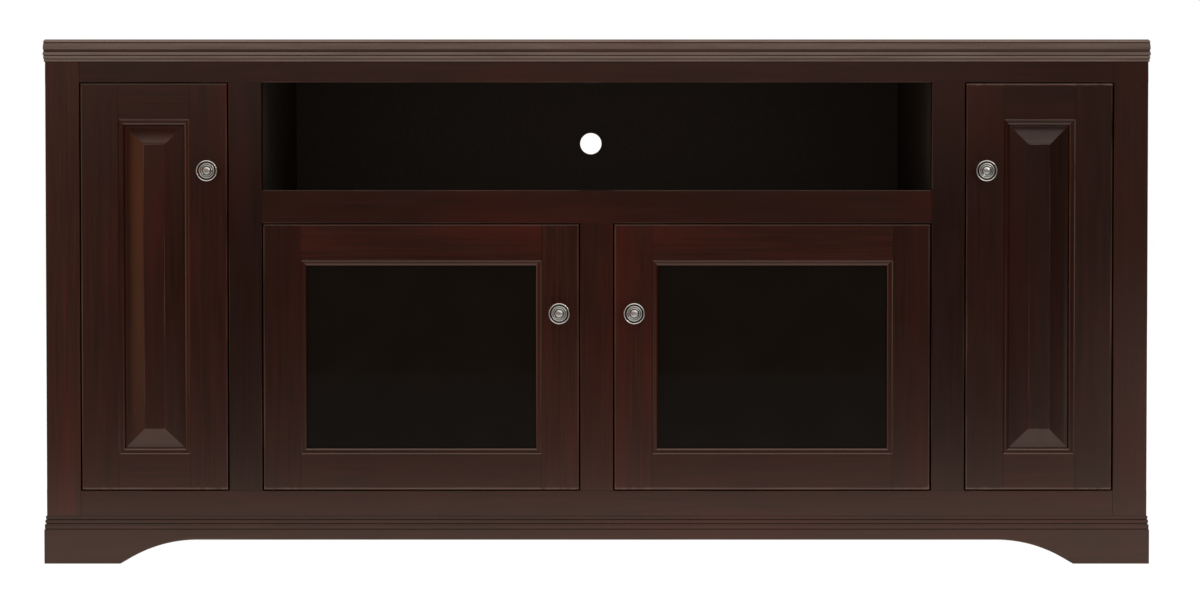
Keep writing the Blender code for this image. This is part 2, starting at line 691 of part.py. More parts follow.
def knob_profile():
    """A turned knob from the tip of its dome down to its foot."""
    face = KNOB_PROJECTION - KNOB_DOME_RISE
    rim = KNOB_DIAMETER / 2
    ring = KNOB_DOME_RADIUS + KNOB_GROOVE_DEPTH * 2
    lip = ring + KNOB_RING_WIDTH
    profile = [
        (KNOB_DOME_RADIUS * math.sin(turn), face + KNOB_DOME_RISE * math.cos(turn))
        for turn in np.linspace(0.0, math.pi / 2, DOME_STEPS + 1)
    ]
    profile += [
        (KNOB_DOME_RADIUS + KNOB_GROOVE_DEPTH, face - KNOB_GROOVE_DEPTH),
        (ring, face),
        (lip - KNOB_GROOVE_DEPTH, face - KNOB_GROOVE_DEPTH / 2),
        (lip, face - KNOB_GROOVE_DEPTH * 2),
        (lip + KNOB_GROOVE_DEPTH, face - KNOB_GROOVE_DEPTH / 2),
        (rim - KNOB_GROOVE_DEPTH, face - KNOB_GROOVE_DEPTH / 2),
        (rim, face - KNOB_GROOVE_DEPTH * 3 / 2),
        (rim, face - KNOB_RIM_HEIGHT),
        (KNOB_STEM_DIAMETER / 2, KNOB_NECK_HEIGHT),
        (KNOB_STEM_DIAMETER / 2, KNOB_FOOT_HEIGHT * 2),
        (KNOB_FOOT_DIAMETER / 2, KNOB_FOOT_HEIGHT),
        (KNOB_FOOT_DIAMETER / 2, FIT),
        (0.0, FIT),
    ]
    return profile


def pivot_pin(name, x, joint, upward):
    """A steel pivot pin with a thrust collar in the gap between door and rail.

    joint is the rail's edge, and upward is 1 where the door is above it, or else -1.
    """
    pin = PIN_DIAMETER / 2
    collar = PIN_COLLAR_DIAMETER / 2
    profile = [
        (0.0, DOOR_GAP + PIN_DOOR_LENGTH),
        (pin, DOOR_GAP + PIN_DOOR_LENGTH),
        (pin, DOOR_GAP - FIT),
        (collar, DOOR_GAP - FIT),
        (collar, FIT),
        (pin, FIT),
        (pin, -PIN_RAIL_LENGTH),
        (0.0, -PIN_RAIL_LENGTH),
    ]
    part = turned(name, profile, PIN_STEPS, ZINC_STEEL)
    part.location = (x, PIVOT_Y, joint)
    if upward < 0:
        part.rotation_euler = (math.pi, 0.0, 0.0)


def door(name, hinge_side, hinge_edge, latch_edge, bottom_rail_edge, top_rail_edge, lower, upper, glazed):
    """A framed door on two pivot pins, with its pieces parented to an empty on the hinge axis.

    hinge_edge and latch_edge are the sides of its opening. lower and upper are the rails that hold the pins.
    """
    inward = -hinge_side
    width = abs(latch_edge - hinge_edge) - 2 * DOOR_GAP
    height = top_rail_edge - bottom_rail_edge - 2 * DOOR_GAP
    pivot_x = hinge_edge + inward * (DOOR_GAP + PIVOT_INSET)
    floor = bottom_rail_edge + DOOR_GAP
    hinge = bpy.data.objects.new(f"{name}_hinge", None)
    hinge.location = (pivot_x, PIVOT_Y, floor)
    console.objects.link(hinge)

    filling = GLASS_THICKNESS if glazed else TONGUE_THICKNESS
    sticking = sticking_profile(filling + 2 * FIT)

    def rectangle(left, right, low, high, depth):
        corners = [(left, low), (right, low), (right, high), (left, high)]
        return [(inward * (u - PIVOT_INSET), depth - PIVOT_SETBACK, v) for u, v in corners]

    stile_rows = stack([EASED_EDGE, sticking])
    hinge_stile_sections = [
        rectangle(eased, DOOR_STILE_FACE + reach, eased, height - eased, depth)
        for depth, (eased, reach) in stile_rows
    ]
    latch_stile_sections = [
        rectangle(width - DOOR_STILE_FACE - reach, width - eased, eased, height - eased, depth)
        for depth, (eased, reach) in stile_rows
    ]
    rail_rows = stack([EASED_EDGE, sticking, coped(sticking)])
    shoulder = DOOR_STILE_FACE
    top_sections = [
        rectangle(
            shoulder + cope, width - shoulder - cope, height - DOOR_RAIL_FACE - reach, height - eased, depth
        )
        for depth, (eased, reach, cope) in rail_rows
    ]
    bottom_sections = [
        rectangle(shoulder + cope, width - shoulder - cope, eased, DOOR_RAIL_FACE + reach, depth)
        for depth, (eased, reach, cope) in rail_rows
    ]
    hinge_stile = loft(f"{name}_hinge_stile", hinge_stile_sections, ESPRESSO_LACQUER, hinge)
    loft(f"{name}_latch_stile", latch_stile_sections, ESPRESSO_LACQUER, hinge)
    loft(f"{name}_top_rail", top_sections, ESPRESSO_LACQUER, hinge)
    loft(f"{name}_bottom_rail", bottom_sections, ESPRESSO_LACQUER, hinge)

    side_sight = DOOR_STILE_FACE + STICKING_WIDTH
    end_sight = DOOR_RAIL_FACE + STICKING_WIDTH
    tongue = GROOVE_DEPTH - GROOVE_PLAY
    groove_front = STICKING_DEPTH + FIT
    filling_levels = [(groove_front, -tongue), (groove_front + filling, -tongue)]
    if not glazed:
        filling_levels = [
            (FIELD_SET, BEVEL_WIDTH),
            (FIELD_SET + FIELD_STEP, BEVEL_WIDTH),
            (groove_front, 0.0),
        ] + filling_levels
    filling_sections = [
        rectangle(
            side_sight + inset, width - side_sight - inset, end_sight + inset, height - end_sight - inset, depth
        )
        for depth, inset in filling_levels
    ]
    filling_name = f"{name}_glass" if glazed else f"{name}_panel"
    loft(filling_name, filling_sections, SMOKED_GLASS if glazed else ESPRESSO_LACQUER, hinge)

    knob = turned(f"{name}_knob", knob_profile(), KNOB_STEPS, ANTIQUE_PEWTER, hinge)
    knob.rotation_euler = (math.pi / 2, 0.0, 0.0)
    knob_inset = GLASS_KNOB_INSET if glazed else SIDE_KNOB_INSET
    knob_height = GLASS_KNOB_HEIGHT if glazed else SIDE_KNOB_HEIGHT
    knob.location = (inward * (width - knob_inset - PIVOT_INSET), -PIVOT_SETBACK, knob_height - floor)

    hole = PIN_DIAMETER + 2 * FIT
    pivot_pin(f"{name}_pin_bottom", pivot_x, bottom_rail_edge, 1)
    pivot_pin(f"{name}_pin_top", pivot_x, top_rail_edge, -1)
    bottom_ends = (bottom_rail_edge - PIN_RAIL_LENGTH - FIT, floor + PIN_DOOR_LENGTH + FIT)
    top_ends = (floor + height - PIN_DOOR_LENGTH - FIT, top_rail_edge + PIN_RAIL_LENGTH + FIT)
    for rail, ends in ((lower, bottom_ends), (upper, top_ends)):
        bore(rail, pivot_x, PIVOT_Y, *ends, hole, PIN_STEPS)
        bore(hinge_stile, pivot_x, PIVOT_Y, *ends, hole, PIN_STEPS)


for side, label in ((-1, "left"), (1, "right")):
    door(
        f"{label}_side_door", side, side * SIDE_OPENING_OUTER, side * SIDE_OPENING_INNER,
        BOTTOM_RAIL_TOP, TOP_RAIL_BOTTOM, bottom_rail, top_rail, False,
    )
    door(
        f"{label}_glass_door", side, side * BAY_HALF, side * MULLION_HALF,
        BOTTOM_RAIL_TOP, MIDDLE_RAIL_BOTTOM, bottom_rail, middle_rail, True,
    )
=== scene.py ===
"""A television console: dark lacquered hardwood face-frame cabinet with four inset doors.

Metres, +Z up, the front faces -Y and the floor is Z = 0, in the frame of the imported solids.
"""

import math

import bmesh
import bpy
import numpy as np
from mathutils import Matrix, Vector


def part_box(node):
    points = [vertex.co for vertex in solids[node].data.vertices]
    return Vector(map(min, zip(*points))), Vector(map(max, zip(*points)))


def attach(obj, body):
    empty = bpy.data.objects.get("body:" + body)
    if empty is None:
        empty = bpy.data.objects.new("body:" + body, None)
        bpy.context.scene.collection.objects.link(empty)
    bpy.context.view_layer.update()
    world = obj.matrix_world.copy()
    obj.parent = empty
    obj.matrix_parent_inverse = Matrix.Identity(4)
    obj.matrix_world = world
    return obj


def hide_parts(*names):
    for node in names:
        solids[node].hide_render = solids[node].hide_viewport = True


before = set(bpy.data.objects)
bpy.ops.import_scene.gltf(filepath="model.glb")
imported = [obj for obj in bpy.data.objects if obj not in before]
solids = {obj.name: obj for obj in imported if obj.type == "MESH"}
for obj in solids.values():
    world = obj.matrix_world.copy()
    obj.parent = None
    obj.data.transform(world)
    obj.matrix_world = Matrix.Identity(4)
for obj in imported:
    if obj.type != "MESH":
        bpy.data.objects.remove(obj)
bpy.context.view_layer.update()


# Carcass boards
# Plywood bottom, dividers, media shelf, partition and shelves, housed in grooves and glued.
# The faces are stained close to black and sealed satin, so the grain is only a faint streak.
def linear(code):
    """An sRGB hex colour as linear RGBA, by the sRGB transfer curve."""
    srgb = np.array([int(code[i : i + 2], 16) for i in (1, 3, 5)]) / 255
    rgb = np.where(srgb <= 0.04045, srgb / 12.92, ((srgb + 0.055) / 1.055) ** 2.4)
    return (*rgb.tolist(), 1.0)


def add(tree, kind, sockets, **settings):
    """Add one node, apply its settings, then set or link its input sockets by name or number."""
    node = tree.nodes.new(kind)
    for name, value in settings.items():
        setattr(node, name, value)
    for key, value in sockets.items():
        if isinstance(value, bpy.types.NodeSocket):
            tree.links.new(value, node.inputs[key])
        else:
            node.inputs[key].default_value = value
    return node


def start_material(name, sockets):
    """A new material with the constant sockets of its Principled shader set."""
    material = bpy.data.materials.new(name)
    material.use_nodes = True
    tree = material.node_tree
    shader = tree.nodes["Principled BSDF"]
    for key, value in sockets.items():
        shader.inputs[key].default_value = value
    return material, tree, shader


def streaks(tree, along, width_mm, length_mm, detail):
    """Noise drawn out along one axis, from the width and length of one streak in millimetres."""
    stretch = [1000 / width_mm] * 3
    stretch["xyz".index(along)] = 1000 / length_mm
    place = add(tree, "ShaderNodeTexCoord", {})
    mapping = add(tree, "ShaderNodeMapping", {"Vector": place.outputs["Object"], "Scale": stretch})
    sockets = {"Vector": mapping.outputs["Vector"], "Scale": 1.0, "Detail": detail, "Roughness": 0.6}
    return add(tree, "ShaderNodeTexNoise", sockets).outputs[0]


def between(tree, factor, low, high, first, second):
    """A factor spread from low to high, then used to go from the first colour to the second."""
    spread = add(tree, "ShaderNodeMapRange", {0: factor, 1: low, 2: high}, clamp=True)
    mix = add(tree, "ShaderNodeMix", {0: spread.outputs[0], 6: first, 7: second}, data_type="RGBA")
    return mix.outputs[2]


black_brown = (linear("#352C25"), linear("#40352C"))


def stained_plywood(along):
    """Birch plywood, stained black-brown, satin: dim streaks 5 mm wide and slightly uneven sheen."""
    material, tree, shader = start_material(f"stained_birch_plywood_{along}", {"Specular IOR Level": 0.12})
    grain = streaks(tree, along, 5, 220, 4)
    colour = between(tree, grain, 0.35, 0.7, *black_brown)
    tree.links.new(colour, shader.inputs["Base Color"])
    sheen = add(tree, "ShaderNodeMapRange", {0: streaks(tree, along, 30, 90, 2), 3: 0.5, 4: 0.66})
    tree.links.new(sheen.outputs[0], shader.inputs["Roughness"])
    relief = add(tree, "ShaderNodeBump", {"Height": grain, "Strength": 0.2, "Distance": 0.0002})
    tree.links.new(relief.outputs[0], shader.inputs["Normal"])
    return material


def finish_solids(names, material):
    """Give solids of the frame one material in place of their plain one."""
    for name in names:
        slots = solids[name].data.materials
        slots.clear()
        slots.append(material)


level_boards = ["bottom_panel", "media_shelf", "left_side_shelf", "right_side_shelf"]
level_boards += ["left_centre_shelf", "right_centre_shelf"]
finish_solids(level_boards, stained_plywood("x"))
finish_solids(["left_divider", "right_divider", "centre_partition"], stained_plywood("z"))


# Side panels
# Veneered panels in the same espresso finish as the front, grain upright, rabbeted for the back.
# A dark red-brown stain lies under a semi-gloss lacquer that the room's light slides across.
def espresso_lacquer(along, finish, gloss, matt, rubbed_from, rubbed_to, worn_and_highlit_colour):
    """Stained close-grained hardwood under lacquer, with its grain along one axis.

    Streaks 4 mm by 160 mm shade the stain, clouds 60 mm by 420 mm let a redder ground through, pores
    are drawn 1.2 mm wide so that they show, and one speck of dust lies in each 90 mm or so. The wear
    attribute, broken into rubs 10 mm by 150 mm, turns the stain towards a paler colour along edges:
    in part stain thinning with use, in part painted highlights where edges and crests catch the light.
    The tone attribute says how much lighter or darker a board took the stain.
    """
    material, tree, shader = start_material(
        f"espresso_{finish}_hardwood_{along}",
        {"IOR": 1.5, "Specular Tint": linear("#FFE4D2")},
    )
    grain = streaks(tree, along, 4, 160, 5)
    ground = streaks(tree, along, 60, 420, 2)
    pores = streaks(tree, along, 1.2, 22, 2)
    rubs = streaks(tree, along, 10, 150, 4)
    stain = between(tree, grain, 0.3, 0.72, linear("#1D0703"), linear("#2F0E06"))
    stain = between(tree, ground, 0.52, 0.8, stain, linear("#370D05"))
    tone = add(tree, "ShaderNodeAttribute", {}, attribute_name="tone")
    depth = add(tree, "ShaderNodeMath", {0: tone.outputs["Fac"], 1: 1.0}, operation="ADD")
    toned = add(tree, "ShaderNodeVectorMath", {0: stain, "Scale": depth.outputs[0]}, operation="SCALE")
    place = add(tree, "ShaderNodeTexCoord", {})
    specks = add(tree, "ShaderNodeTexVoronoi", {"Vector": place.outputs["Object"], "Scale": 1000 / 90})
    stain = between(tree, specks.outputs["Distance"], 0.012, 0.006, toned.outputs[0], linear("#6B4A3E"))
    worn_and_highlit = add(tree, "ShaderNodeAttribute", {}, attribute_name="wear_and_highlight")
    rubbed_and_highlit = add(tree, "ShaderNodeMath", {0: worn_and_highlit.outputs["Fac"], 1: rubs}, operation="MULTIPLY")
    stain = between(tree, rubbed_and_highlit.outputs[0], rubbed_from, rubbed_to, stain, linear(worn_and_highlit_colour))
    tree.links.new(stain, shader.inputs["Base Color"])
    sheen = add(tree, "ShaderNodeMapRange", {0: streaks(tree, along, 25, 120, 3), 3: gloss, 4: matt})
    tree.links.new(sheen.outputs[0], shader.inputs["Roughness"])
    relief = add(tree, "ShaderNodeBump", {"Height": pores, "Strength": 0.12, "Distance": 0.0002})
    tree.links.new(relief.outputs[0], shader.inputs["Normal"])
    return material


# A finish: its name, least and most roughness, the wear where rubs begin and are full, and the paler colour
# they give, which is both wear and a painted highlight.
rubbed_and_highlit_finish = ("rubbed_and_highlit", 0.16, 0.25, 0.36, 0.8, "#4E382E")
wood_across = espresso_lacquer("x", *rubbed_and_highlit_finish)
wood_upright = espresso_lacquer("z", *rubbed_and_highlit_finish)
finish_solids(["left_side_panel", "right_side_panel"], wood_upright)

# Back panel
# A thin hardboard panel let into the rabbets, painted black-brown, with one round cable hole.
# Countersunk steel screws hold it to the sides, the dividers, the bottom and the top.

# Pressed fibres under flat paint give a fine mottle and hardly any shine. The mottle is drawn coarser
# than real fibres, 2.5 mm, so that it shows.
fibre_mm = 2.5
material, tree, shader = start_material("painted_hardboard", {"Specular IOR Level": 0.12})
place = add(tree, "ShaderNodeTexCoord", {})
sockets = {"Vector": place.outputs["Object"], "Scale": 1000 / fibre_mm, "Detail": 4}
fibres = add(tree, "ShaderNodeTexNoise", sockets).outputs[0]
tree.links.new(between(tree, fibres, 0.35, 0.65, *black_brown), shader.inputs["Base Color"])
matt = add(tree, "ShaderNodeMapRange", {0: fibres, 3: 0.62, 4: 0.8})
tree.links.new(matt.outputs[0], shader.inputs["Roughness"])
relief = add(tree, "ShaderNodeBump", {"Height": fibres, "Strength": 0.3, "Distance": 0.0003})
tree.links.new(relief.outputs[0], shader.inputs["Normal"])
finish_solids(["back_panel"], material)


def skin(
    name, rings, material, body, replaced=(),
    wear_and_highlight=None, tone=0.0, places=((0, 0, 0),), sharp=38,
):
    """Close a grid of rings into a solid: four-sided faces from ring to ring and a face over each end.

    rings is an array of rings by points by xyz, repeated at each of the places. wear is a value for
    each point of the grid, or for each ring, that the materials draw as paler stain, partly from use and
    partly as painted highlights on edges that catch the light. tone is one for the whole piece. Edges
    that turn by more than sharp degrees stay crisp, and flat faces keep one normal over their rounded edges.
    """
    same_point = 0.000002
    rings = np.asarray(rings, dtype=float)
    count, around = rings.shape[:2]
    places = np.asarray(places, dtype=float)
    points = (rings.reshape(1, -1, 3) + places[:, None, :]).reshape(-1, 3)
    here = np.arange(around)
    beside = np.roll(here, -1)
    rows = np.arange(count - 1)[:, None] * around
    quads = np.stack([rows + here, rows + beside, rows + around + beside, rows + around + here], axis=-1)
    shift = np.arange(len(places))[:, None, None] * count * around
    quads = (quads.reshape(1, -1, 4) + shift).reshape(-1, 4)
    ends = np.concatenate([here[None, ::-1], here[None] + (count - 1) * around])
    ends = (ends[None] + shift).reshape(-1, around)
    mesh = bpy.data.meshes.new(name)
    mesh.from_pydata(points, [], quads.tolist() + ends.tolist())
    amount = np.zeros((count, around))
    if wear_and_highlight is not None:
        wear_and_highlight = np.asarray(wear_and_highlight, dtype=float)
        amount += wear_and_highlight if wear_and_highlight.ndim == 2 else wear_and_highlight[:, None]
    layer = mesh.attributes.new("wear_and_highlight", "FLOAT", "POINT")
    layer.data.foreach_set("value", np.tile(amount.ravel(), len(places)))
    layer = mesh.attributes.new("tone", "FLOAT", "POINT")
    layer.data.foreach_set("value", np.full(len(points), tone))
    merged = bmesh.new()
    merged.from_mesh(mesh)
    bmesh.ops.remove_doubles(merged, verts=merged.verts, dist=same_point)
    bmesh.ops.recalc_face_normals(merged, faces=merged.faces)
    merged.to_mesh(mesh)
    merged.free()
    mesh.shade_smooth()
    mesh.set_sharp_from_angle(angle=math.radians(sharp))
    mesh.materials.append(material)
    piece = bpy.data.objects.new(name, mesh)
    bpy.context.scene.collection.objects.link(piece)
    even = piece.modifiers.new("Even normals", "WEIGHTED_NORMAL")
    even.keep_sharp = True
    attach(piece, body)
    if replaced:
        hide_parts(*replaced)
    return piece


def zinc_plate(name, dark, pale, low, high):
    """Plated or browned steel: a crystalline mottle in its colour and gloss, drawn 2.5 mm wide to show."""
    crystal_mm = 2.5
    material, tree, shader = start_material(name, {"Metallic": 1.0})
    place = add(tree, "ShaderNodeTexCoord", {})
    sockets = {"Vector": place.outputs["Object"], "Scale": 1000 / crystal_mm, "Detail": 4}
    crystals = add(tree, "ShaderNodeTexNoise", sockets).outputs[0]
    colour = between(tree, crystals, 0.3, 0.7, linear(dark), linear(pale))
    tree.links.new(colour, shader.inputs["Base Color"])
    gloss = add(tree, "ShaderNodeMapRange", {0: crystals, 3: low, 4: high})
    tree.links.new(gloss.outputs[0], shader.inputs["Roughness"])
    return material


def cross_head(radius, rise):
    """A screw head on a polar grid facing +Y: a shallow dome of radius and rise, sunk by a cross slot.

    The slot is as deep as a smooth step of the distance to the nearer arm's middle line, and it fades
    out towards the arms' ends. The rim is drawn back under the dome.
    """
    half_arm, arm_end, fade = 0.16 * radius, 0.62 * radius, 0.08 * radius
    slot_depth, rim_back = 0.9 * rise, 0.2 * rise
    turn = np.linspace(0, 2 * np.pi, 49)[:-1]
    out = np.array([0.02, 0.16, 0.3, 0.42, 0.52, 0.6, 0.7, 0.86, 0.96, 1.0, 1.0])[:, None] * radius
    x = out * np.cos(turn)
    z = out * np.sin(turn)
    dome = rise * np.sqrt(np.clip(1 - 0.8 * (out / radius) ** 2, 0, 1)) * np.ones_like(x)
    arm = np.minimum(np.abs(x), np.abs(z)) / half_arm
    slot = np.clip(1.5 - arm, 0, 1) * np.clip((arm_end - out) / fade, 0, 1)
    y = dome - slot * slot_depth
    y[-1] = -rim_back
    return np.stack([x, y, z], axis=-1)


steel = zinc_plate("zinc_plated_steel", "#7C7E80", "#A9ABAC", 0.24, 0.42)
browned_steel = zinc_plate("browned_steel", "#1C1512", "#2A211C", 0.4, 0.55)
screw_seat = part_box("back_panel")[1].y - 0.0001
upright_edges, upright_rows = (-0.8195, -0.516, 0.516, 0.8195), (0.09, 0.26, 0.43, 0.6, 0.75)
level_spots, level_rows = (-0.67, -0.34, -0.17, 0.0, 0.17, 0.34, 0.67), (0.0985, 0.767)
screws = [(x, screw_seat, z) for x in upright_edges for z in upright_rows]
screws += [(x, screw_seat, z) for x in level_spots for z in level_rows]
panel_screw = cross_head(radius=0.0036, rise=0.0006)
skin("back_panel_screws", panel_screw, steel, "cabinet", places=screws)


# Face frame
# Solid hardwood rails and stiles, tenoned together, 19 mm thick and flush with each other.
# Every edge is eased with sandpaper, so openings and joints show a fine line of light.
def supported(outline, reach=0.0015):
    """Add two points to each side of a closed outline, in from its ends by a reach or by a third.

    Also gives each point's wear: nothing for points set in on long sides, one for all others.
    """
    onward = np.roll(outline, -1, axis=0) - outline
    length = np.linalg.norm(onward, axis=1)[:, None]
    share = np.minimum(reach / np.maximum(length, 1e-9), 1 / 3)
    points = np.stack([outline, outline + share * onward, outline + (1 - share) * onward], axis=1)
    inside = np.where(length[:, 0] > 4 * reach, 0.0, 1.0)
    wear_and_highlight = np.stack([np.ones(len(outline)), inside, inside], axis=1)
    return points.reshape(-1, 2), wear_and_highlight.ravel()


def eased_board(low, high, along, ease, joints=None):
    """A board with its edges rounded by one radius, and the wear of each of its points.

    A rectangle whose corners are quarter circles of radius ease cos t runs the length of the board. At
    either end t turns from nothing to nearly a right angle while the ring moves ease sin t further out.
    Where joints are given, the ends and those spans keep square corners, as where members meet flush.
    """
    square, fade, clear, edge_wear = 0.0001, 0.0025, 0.002, 0.85
    low = np.asarray(low, dtype=float)
    high = np.asarray(high, dtype=float)
    first = "xyz".index(along)
    cross = [(first + 1) % 3, (first + 2) % 3]
    start_end, far_end = low[first], high[first]
    middle = (low + high) / 2
    half = (high - low)[cross] / 2
    turn = np.linspace(0, np.pi / 2, 5)
    angle = (np.arange(4)[:, None] * np.pi / 2 + turn).ravel()
    quarter = np.repeat(np.array([[1, 1], [-1, 1], [-1, -1], [1, -1]]), len(turn), axis=0)
    direction = np.stack([np.cos(angle), np.sin(angle)], axis=1)
    end_ease = ease if joints is None else square
    stations = []
    for t in np.radians([80, 60, 40, 20, 0]):
        inset, corner = end_ease * (1 - np.sin(t)), end_ease * np.cos(t)
        stations += [(start_end + inset, end_ease, corner), (far_end - inset, end_ease, corner)]
    for start, finish in [(start_end, start_end), *(joints or []), (far_end, far_end)]:
        changes = ((start - fade, ease), (start, square), (finish, square), (finish + fade, ease))
        for reach, size in changes:
            if start_end + clear < reach < far_end - clear:
                stations.append((reach, size, size))
    rings, wear_and_highlight = [], []
    for reach, core, size in sorted(stations):
        outline, wear_around = supported(quarter * (half - core) + size * direction)
        ring = np.empty((len(outline), 3))
        ring[:, first] = reach
        ring[:, cross] = outline + middle[cross]
        rings.append(ring)
        wear_and_highlight.append(wear_around * (edge_wear if core == ease else 0.0))
    return np.array(rings), np.array(wear_and_highlight)


fit = 0.0003
edge_ease = 0.0009
stile_low, stile_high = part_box("face_stile_right")
frame_front, frame_back = stile_low.y, stile_high.y
frame_bottom, frame_top = stile_low.z, stile_high.z
opening_outer, outer_edge = stile_low.x, stile_high.x
bay_half, opening_inner = [corner.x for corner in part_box("face_stile_inner_right")]
mullion_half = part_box("face_mullion")[1].x
bottom_rail_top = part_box("face_rail_bottom")[1].z
top_rail_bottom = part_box("face_rail_top")[0].z
middle_rail = [corner.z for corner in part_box("face_rail_middle")]
rail_end = opening_outer - fit
upright_foot = bottom_rail_top + fit
upright_head = top_rail_bottom - fit
# Each member's lower and upper corner as (x, z), and the axis that its grain follows.
frame_members = {
    "face_rail_top": ((-rail_end, top_rail_bottom), (rail_end, frame_top), "x"),
    "face_rail_middle": ((-bay_half + fit, middle_rail[0]), (bay_half - fit, middle_rail[1]), "x"),
    "face_rail_bottom": ((-rail_end, frame_bottom), (rail_end, bottom_rail_top), "x"),
    "face_mullion": ((-mullion_half, upright_foot), (mullion_half, middle_rail[0] - fit), "z"),
    "face_stile_left": ((-outer_edge, frame_bottom), (-opening_outer, frame_top), "z"),
    "face_stile_right": ((opening_outer, frame_bottom), (outer_edge, frame_top), "z"),
    "face_stile_inner_left": ((-opening_inner, upright_foot), (-bay_half, upright_head), "z"),
    "face_stile_inner_right": ((bay_half, upright_foot), (opening_inner, upright_head), "z"),
}
# Boards take a stain unevenly: how much lighter or darker than the rest these came out.
frame_tones = {
    "face_rail_top": -0.15, "face_rail_middle": -0.1, "face_stile_left": 0.3,
    "face_stile_inner_left": -0.42, "face_stile_inner_right": -0.42,
}
inner_stiles = [(-opening_inner, -bay_half), (bay_half, opening_inner)]
mullion = (-mullion_half, mullion_half)
outer_joints = [(frame_bottom, bottom_rail_top), (top_rail_bottom, frame_top)]
frame_joints = {
    "face_rail_top": inner_stiles, "face_rail_middle": [mullion],
    "face_rail_bottom": [*inner_stiles, mullion], "face_mullion": [],
    "face_stile_left": outer_joints, "face_stile_right": outer_joints,
    "face_stile_inner_left": [middle_rail], "face_stile_inner_right": [middle_rail],
}
for name, (low, high, along) in frame_members.items():
    low, high = (low[0], frame_front, low[1]), (high[0], frame_back, high[1])
    rings, wear_and_highlight = eased_board(low, high, along, edge_ease, frame_joints[name])
    skin(
        f"{name}_board", rings, wood_across if along == "x" else wood_upright, "cabinet",
        [name], wear_and_highlight, frame_tones.get(name, 0.0),
    )

# Top board
# One wide board whose front and end edges are moulded: groove, bead, quirk and a rounded nosing.
# The nosing takes the light from above, and the bead takes it from the ceiling and from the floor.

# Lacquer sealed satin spreads the light along the mouldings. Their crests are drawn a paler brown, partly as
# wear and partly as painted highlights.
satin_worn_and_highlit_finish = ("satin", 0.5, 0.6, 0.0, 0.55, "#5C4C44")
satin_across = espresso_lacquer("x", *satin_worn_and_highlit_finish)
satin_deep = espresso_lacquer("y", *satin_worn_and_highlit_finish)
top_low, top_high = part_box("top_board")
cabinet_back = top_high.y
top_corner = 0.002
corner_steps = 7
crown = np.linspace(0, 1, 9)
top_inset = np.concatenate([
    [0.0010, 0.0010, 0.0006, 0.0002, 0.0],
    [0.0001, 0.0006, 0.0009, 0.0013, 0.0013],
    0.0004 + 0.0028 * crown**1.5,
    [0.0037, 0.011],
])
top_rise = np.concatenate([
    [0.0, 0.0030, 0.0031, 0.0034, 0.0040],
    [0.0055, 0.0119, 0.0124, 0.0127, 0.0139],
    0.0141 + 0.0044 * crown,
    [0.0185, 0.0185],
])
# How much each ring of the top's edge is drawn paler: most on the nosing, less on the bead and its lower
# edge. This is a painted highlight where those faces catch light from above and below, as well as wear.
top_wear_and_highlight = np.concatenate([
    [0, 0, 0.5, 0.64, 0.64],
    [0.64, 0.64, 0.5, 0, 0],
    np.full(len(crown), 1.05),
    [0.7, 0],
])


def board_outline(half, front, back, inset, radius):
    """A rectangle drawn in by an inset along its front and ends, with rounded front corners.

    The corners are quarter circles whose radius shrinks with the inset; the back corners are square.
    """
    least_radius = 0.0004
    size = max(radius - inset, least_radius)
    turn = np.linspace(0, np.pi / 2, corner_steps)
    rounding = np.stack([1 - np.cos(turn), 1 - np.sin(turn)], axis=1)
    left = np.array([-half + inset, front + inset]) + size * rounding
    right = left[::-1] * np.array([-1, 1])
    ends = np.array([[half - inset, back], [-half + inset, back]])
    return np.concatenate([left, right, ends])


top_rings = []
for inset, rise in zip(top_inset, top_rise):
    outline = board_outline(top_high.x, top_low.y, cabinet_back, inset, top_corner)
    top_rings.append(np.column_stack([outline, np.full(len(outline), top_low.z + rise)]))
# Painted light: the edge is drawn paler along the left end and left front corner than along the right, as if
# lit more from the left.
left_rub_and_painted_light, right_rub_and_painted_light = 1.2, 0.9
rub_and_painted_light_around = np.array([left_rub_and_painted_light] * corner_steps + [right_rub_and_painted_light] * (corner_steps + 1) + [left_rub_and_painted_light])
top_wear_and_highlight = top_wear_and_highlight[:, None] * rub_and_painted_light_around
skin("top_board_moulded", top_rings, satin_across, "cabinet", ["top_board"], top_wear_and_highlight)


# Moulding under the top
# A hardwood strip with three reeds that step out towards the top, mitred round the front and ends.
# It is pinned and glued to the face frame; each reed carries its own thin line of light.
def reeded(heights, bottom, projection, bulge, lean, growing_up):
    """Outline of stacked reeds from the lowest up, stepping by 0.7 mm, and how pale each point is drawn, as
    wear and as a painted highlight on the crests.

    Between flat groove bottoms, a fourteenth of its height each, a reed swells and sinks as a quarter
    ellipse over an eighth of its height, and its face leans back by a share of the bulge.
    """
    step, groove, swelling = 0.0007, 0.07, 0.125
    lower = np.array([0.0, groove, 0.075, 0.09, 0.12, 0.16, 0.2, 0.35])
    share = np.concatenate([lower, 1 - lower[::-1]])
    edge = np.clip((np.minimum(share, 1 - share) - groove) / swelling, 0, 1)
    swell = np.sqrt(1 - (1 - edge) ** 2) * (1 - lean * share)
    order = np.arange(len(heights))
    steps = order[::-1] if growing_up else order
    root = projection - steps * step - bulge
    level = bottom + np.concatenate([[0], np.cumsum(heights)[:-1]])
    reach = root[:, None] + bulge * swell
    rise = level[:, None] + np.asarray(heights)[:, None] * share
    # Each reed's crest is drawn paler: wear, and a painted highlight where it catches the light.
    crest = np.broadcast_to(np.clip(edge * 2 - 0.4, 0, 1), reach.shape)
    return np.column_stack([reach.ravel(), rise.ravel()]), crest.ravel()


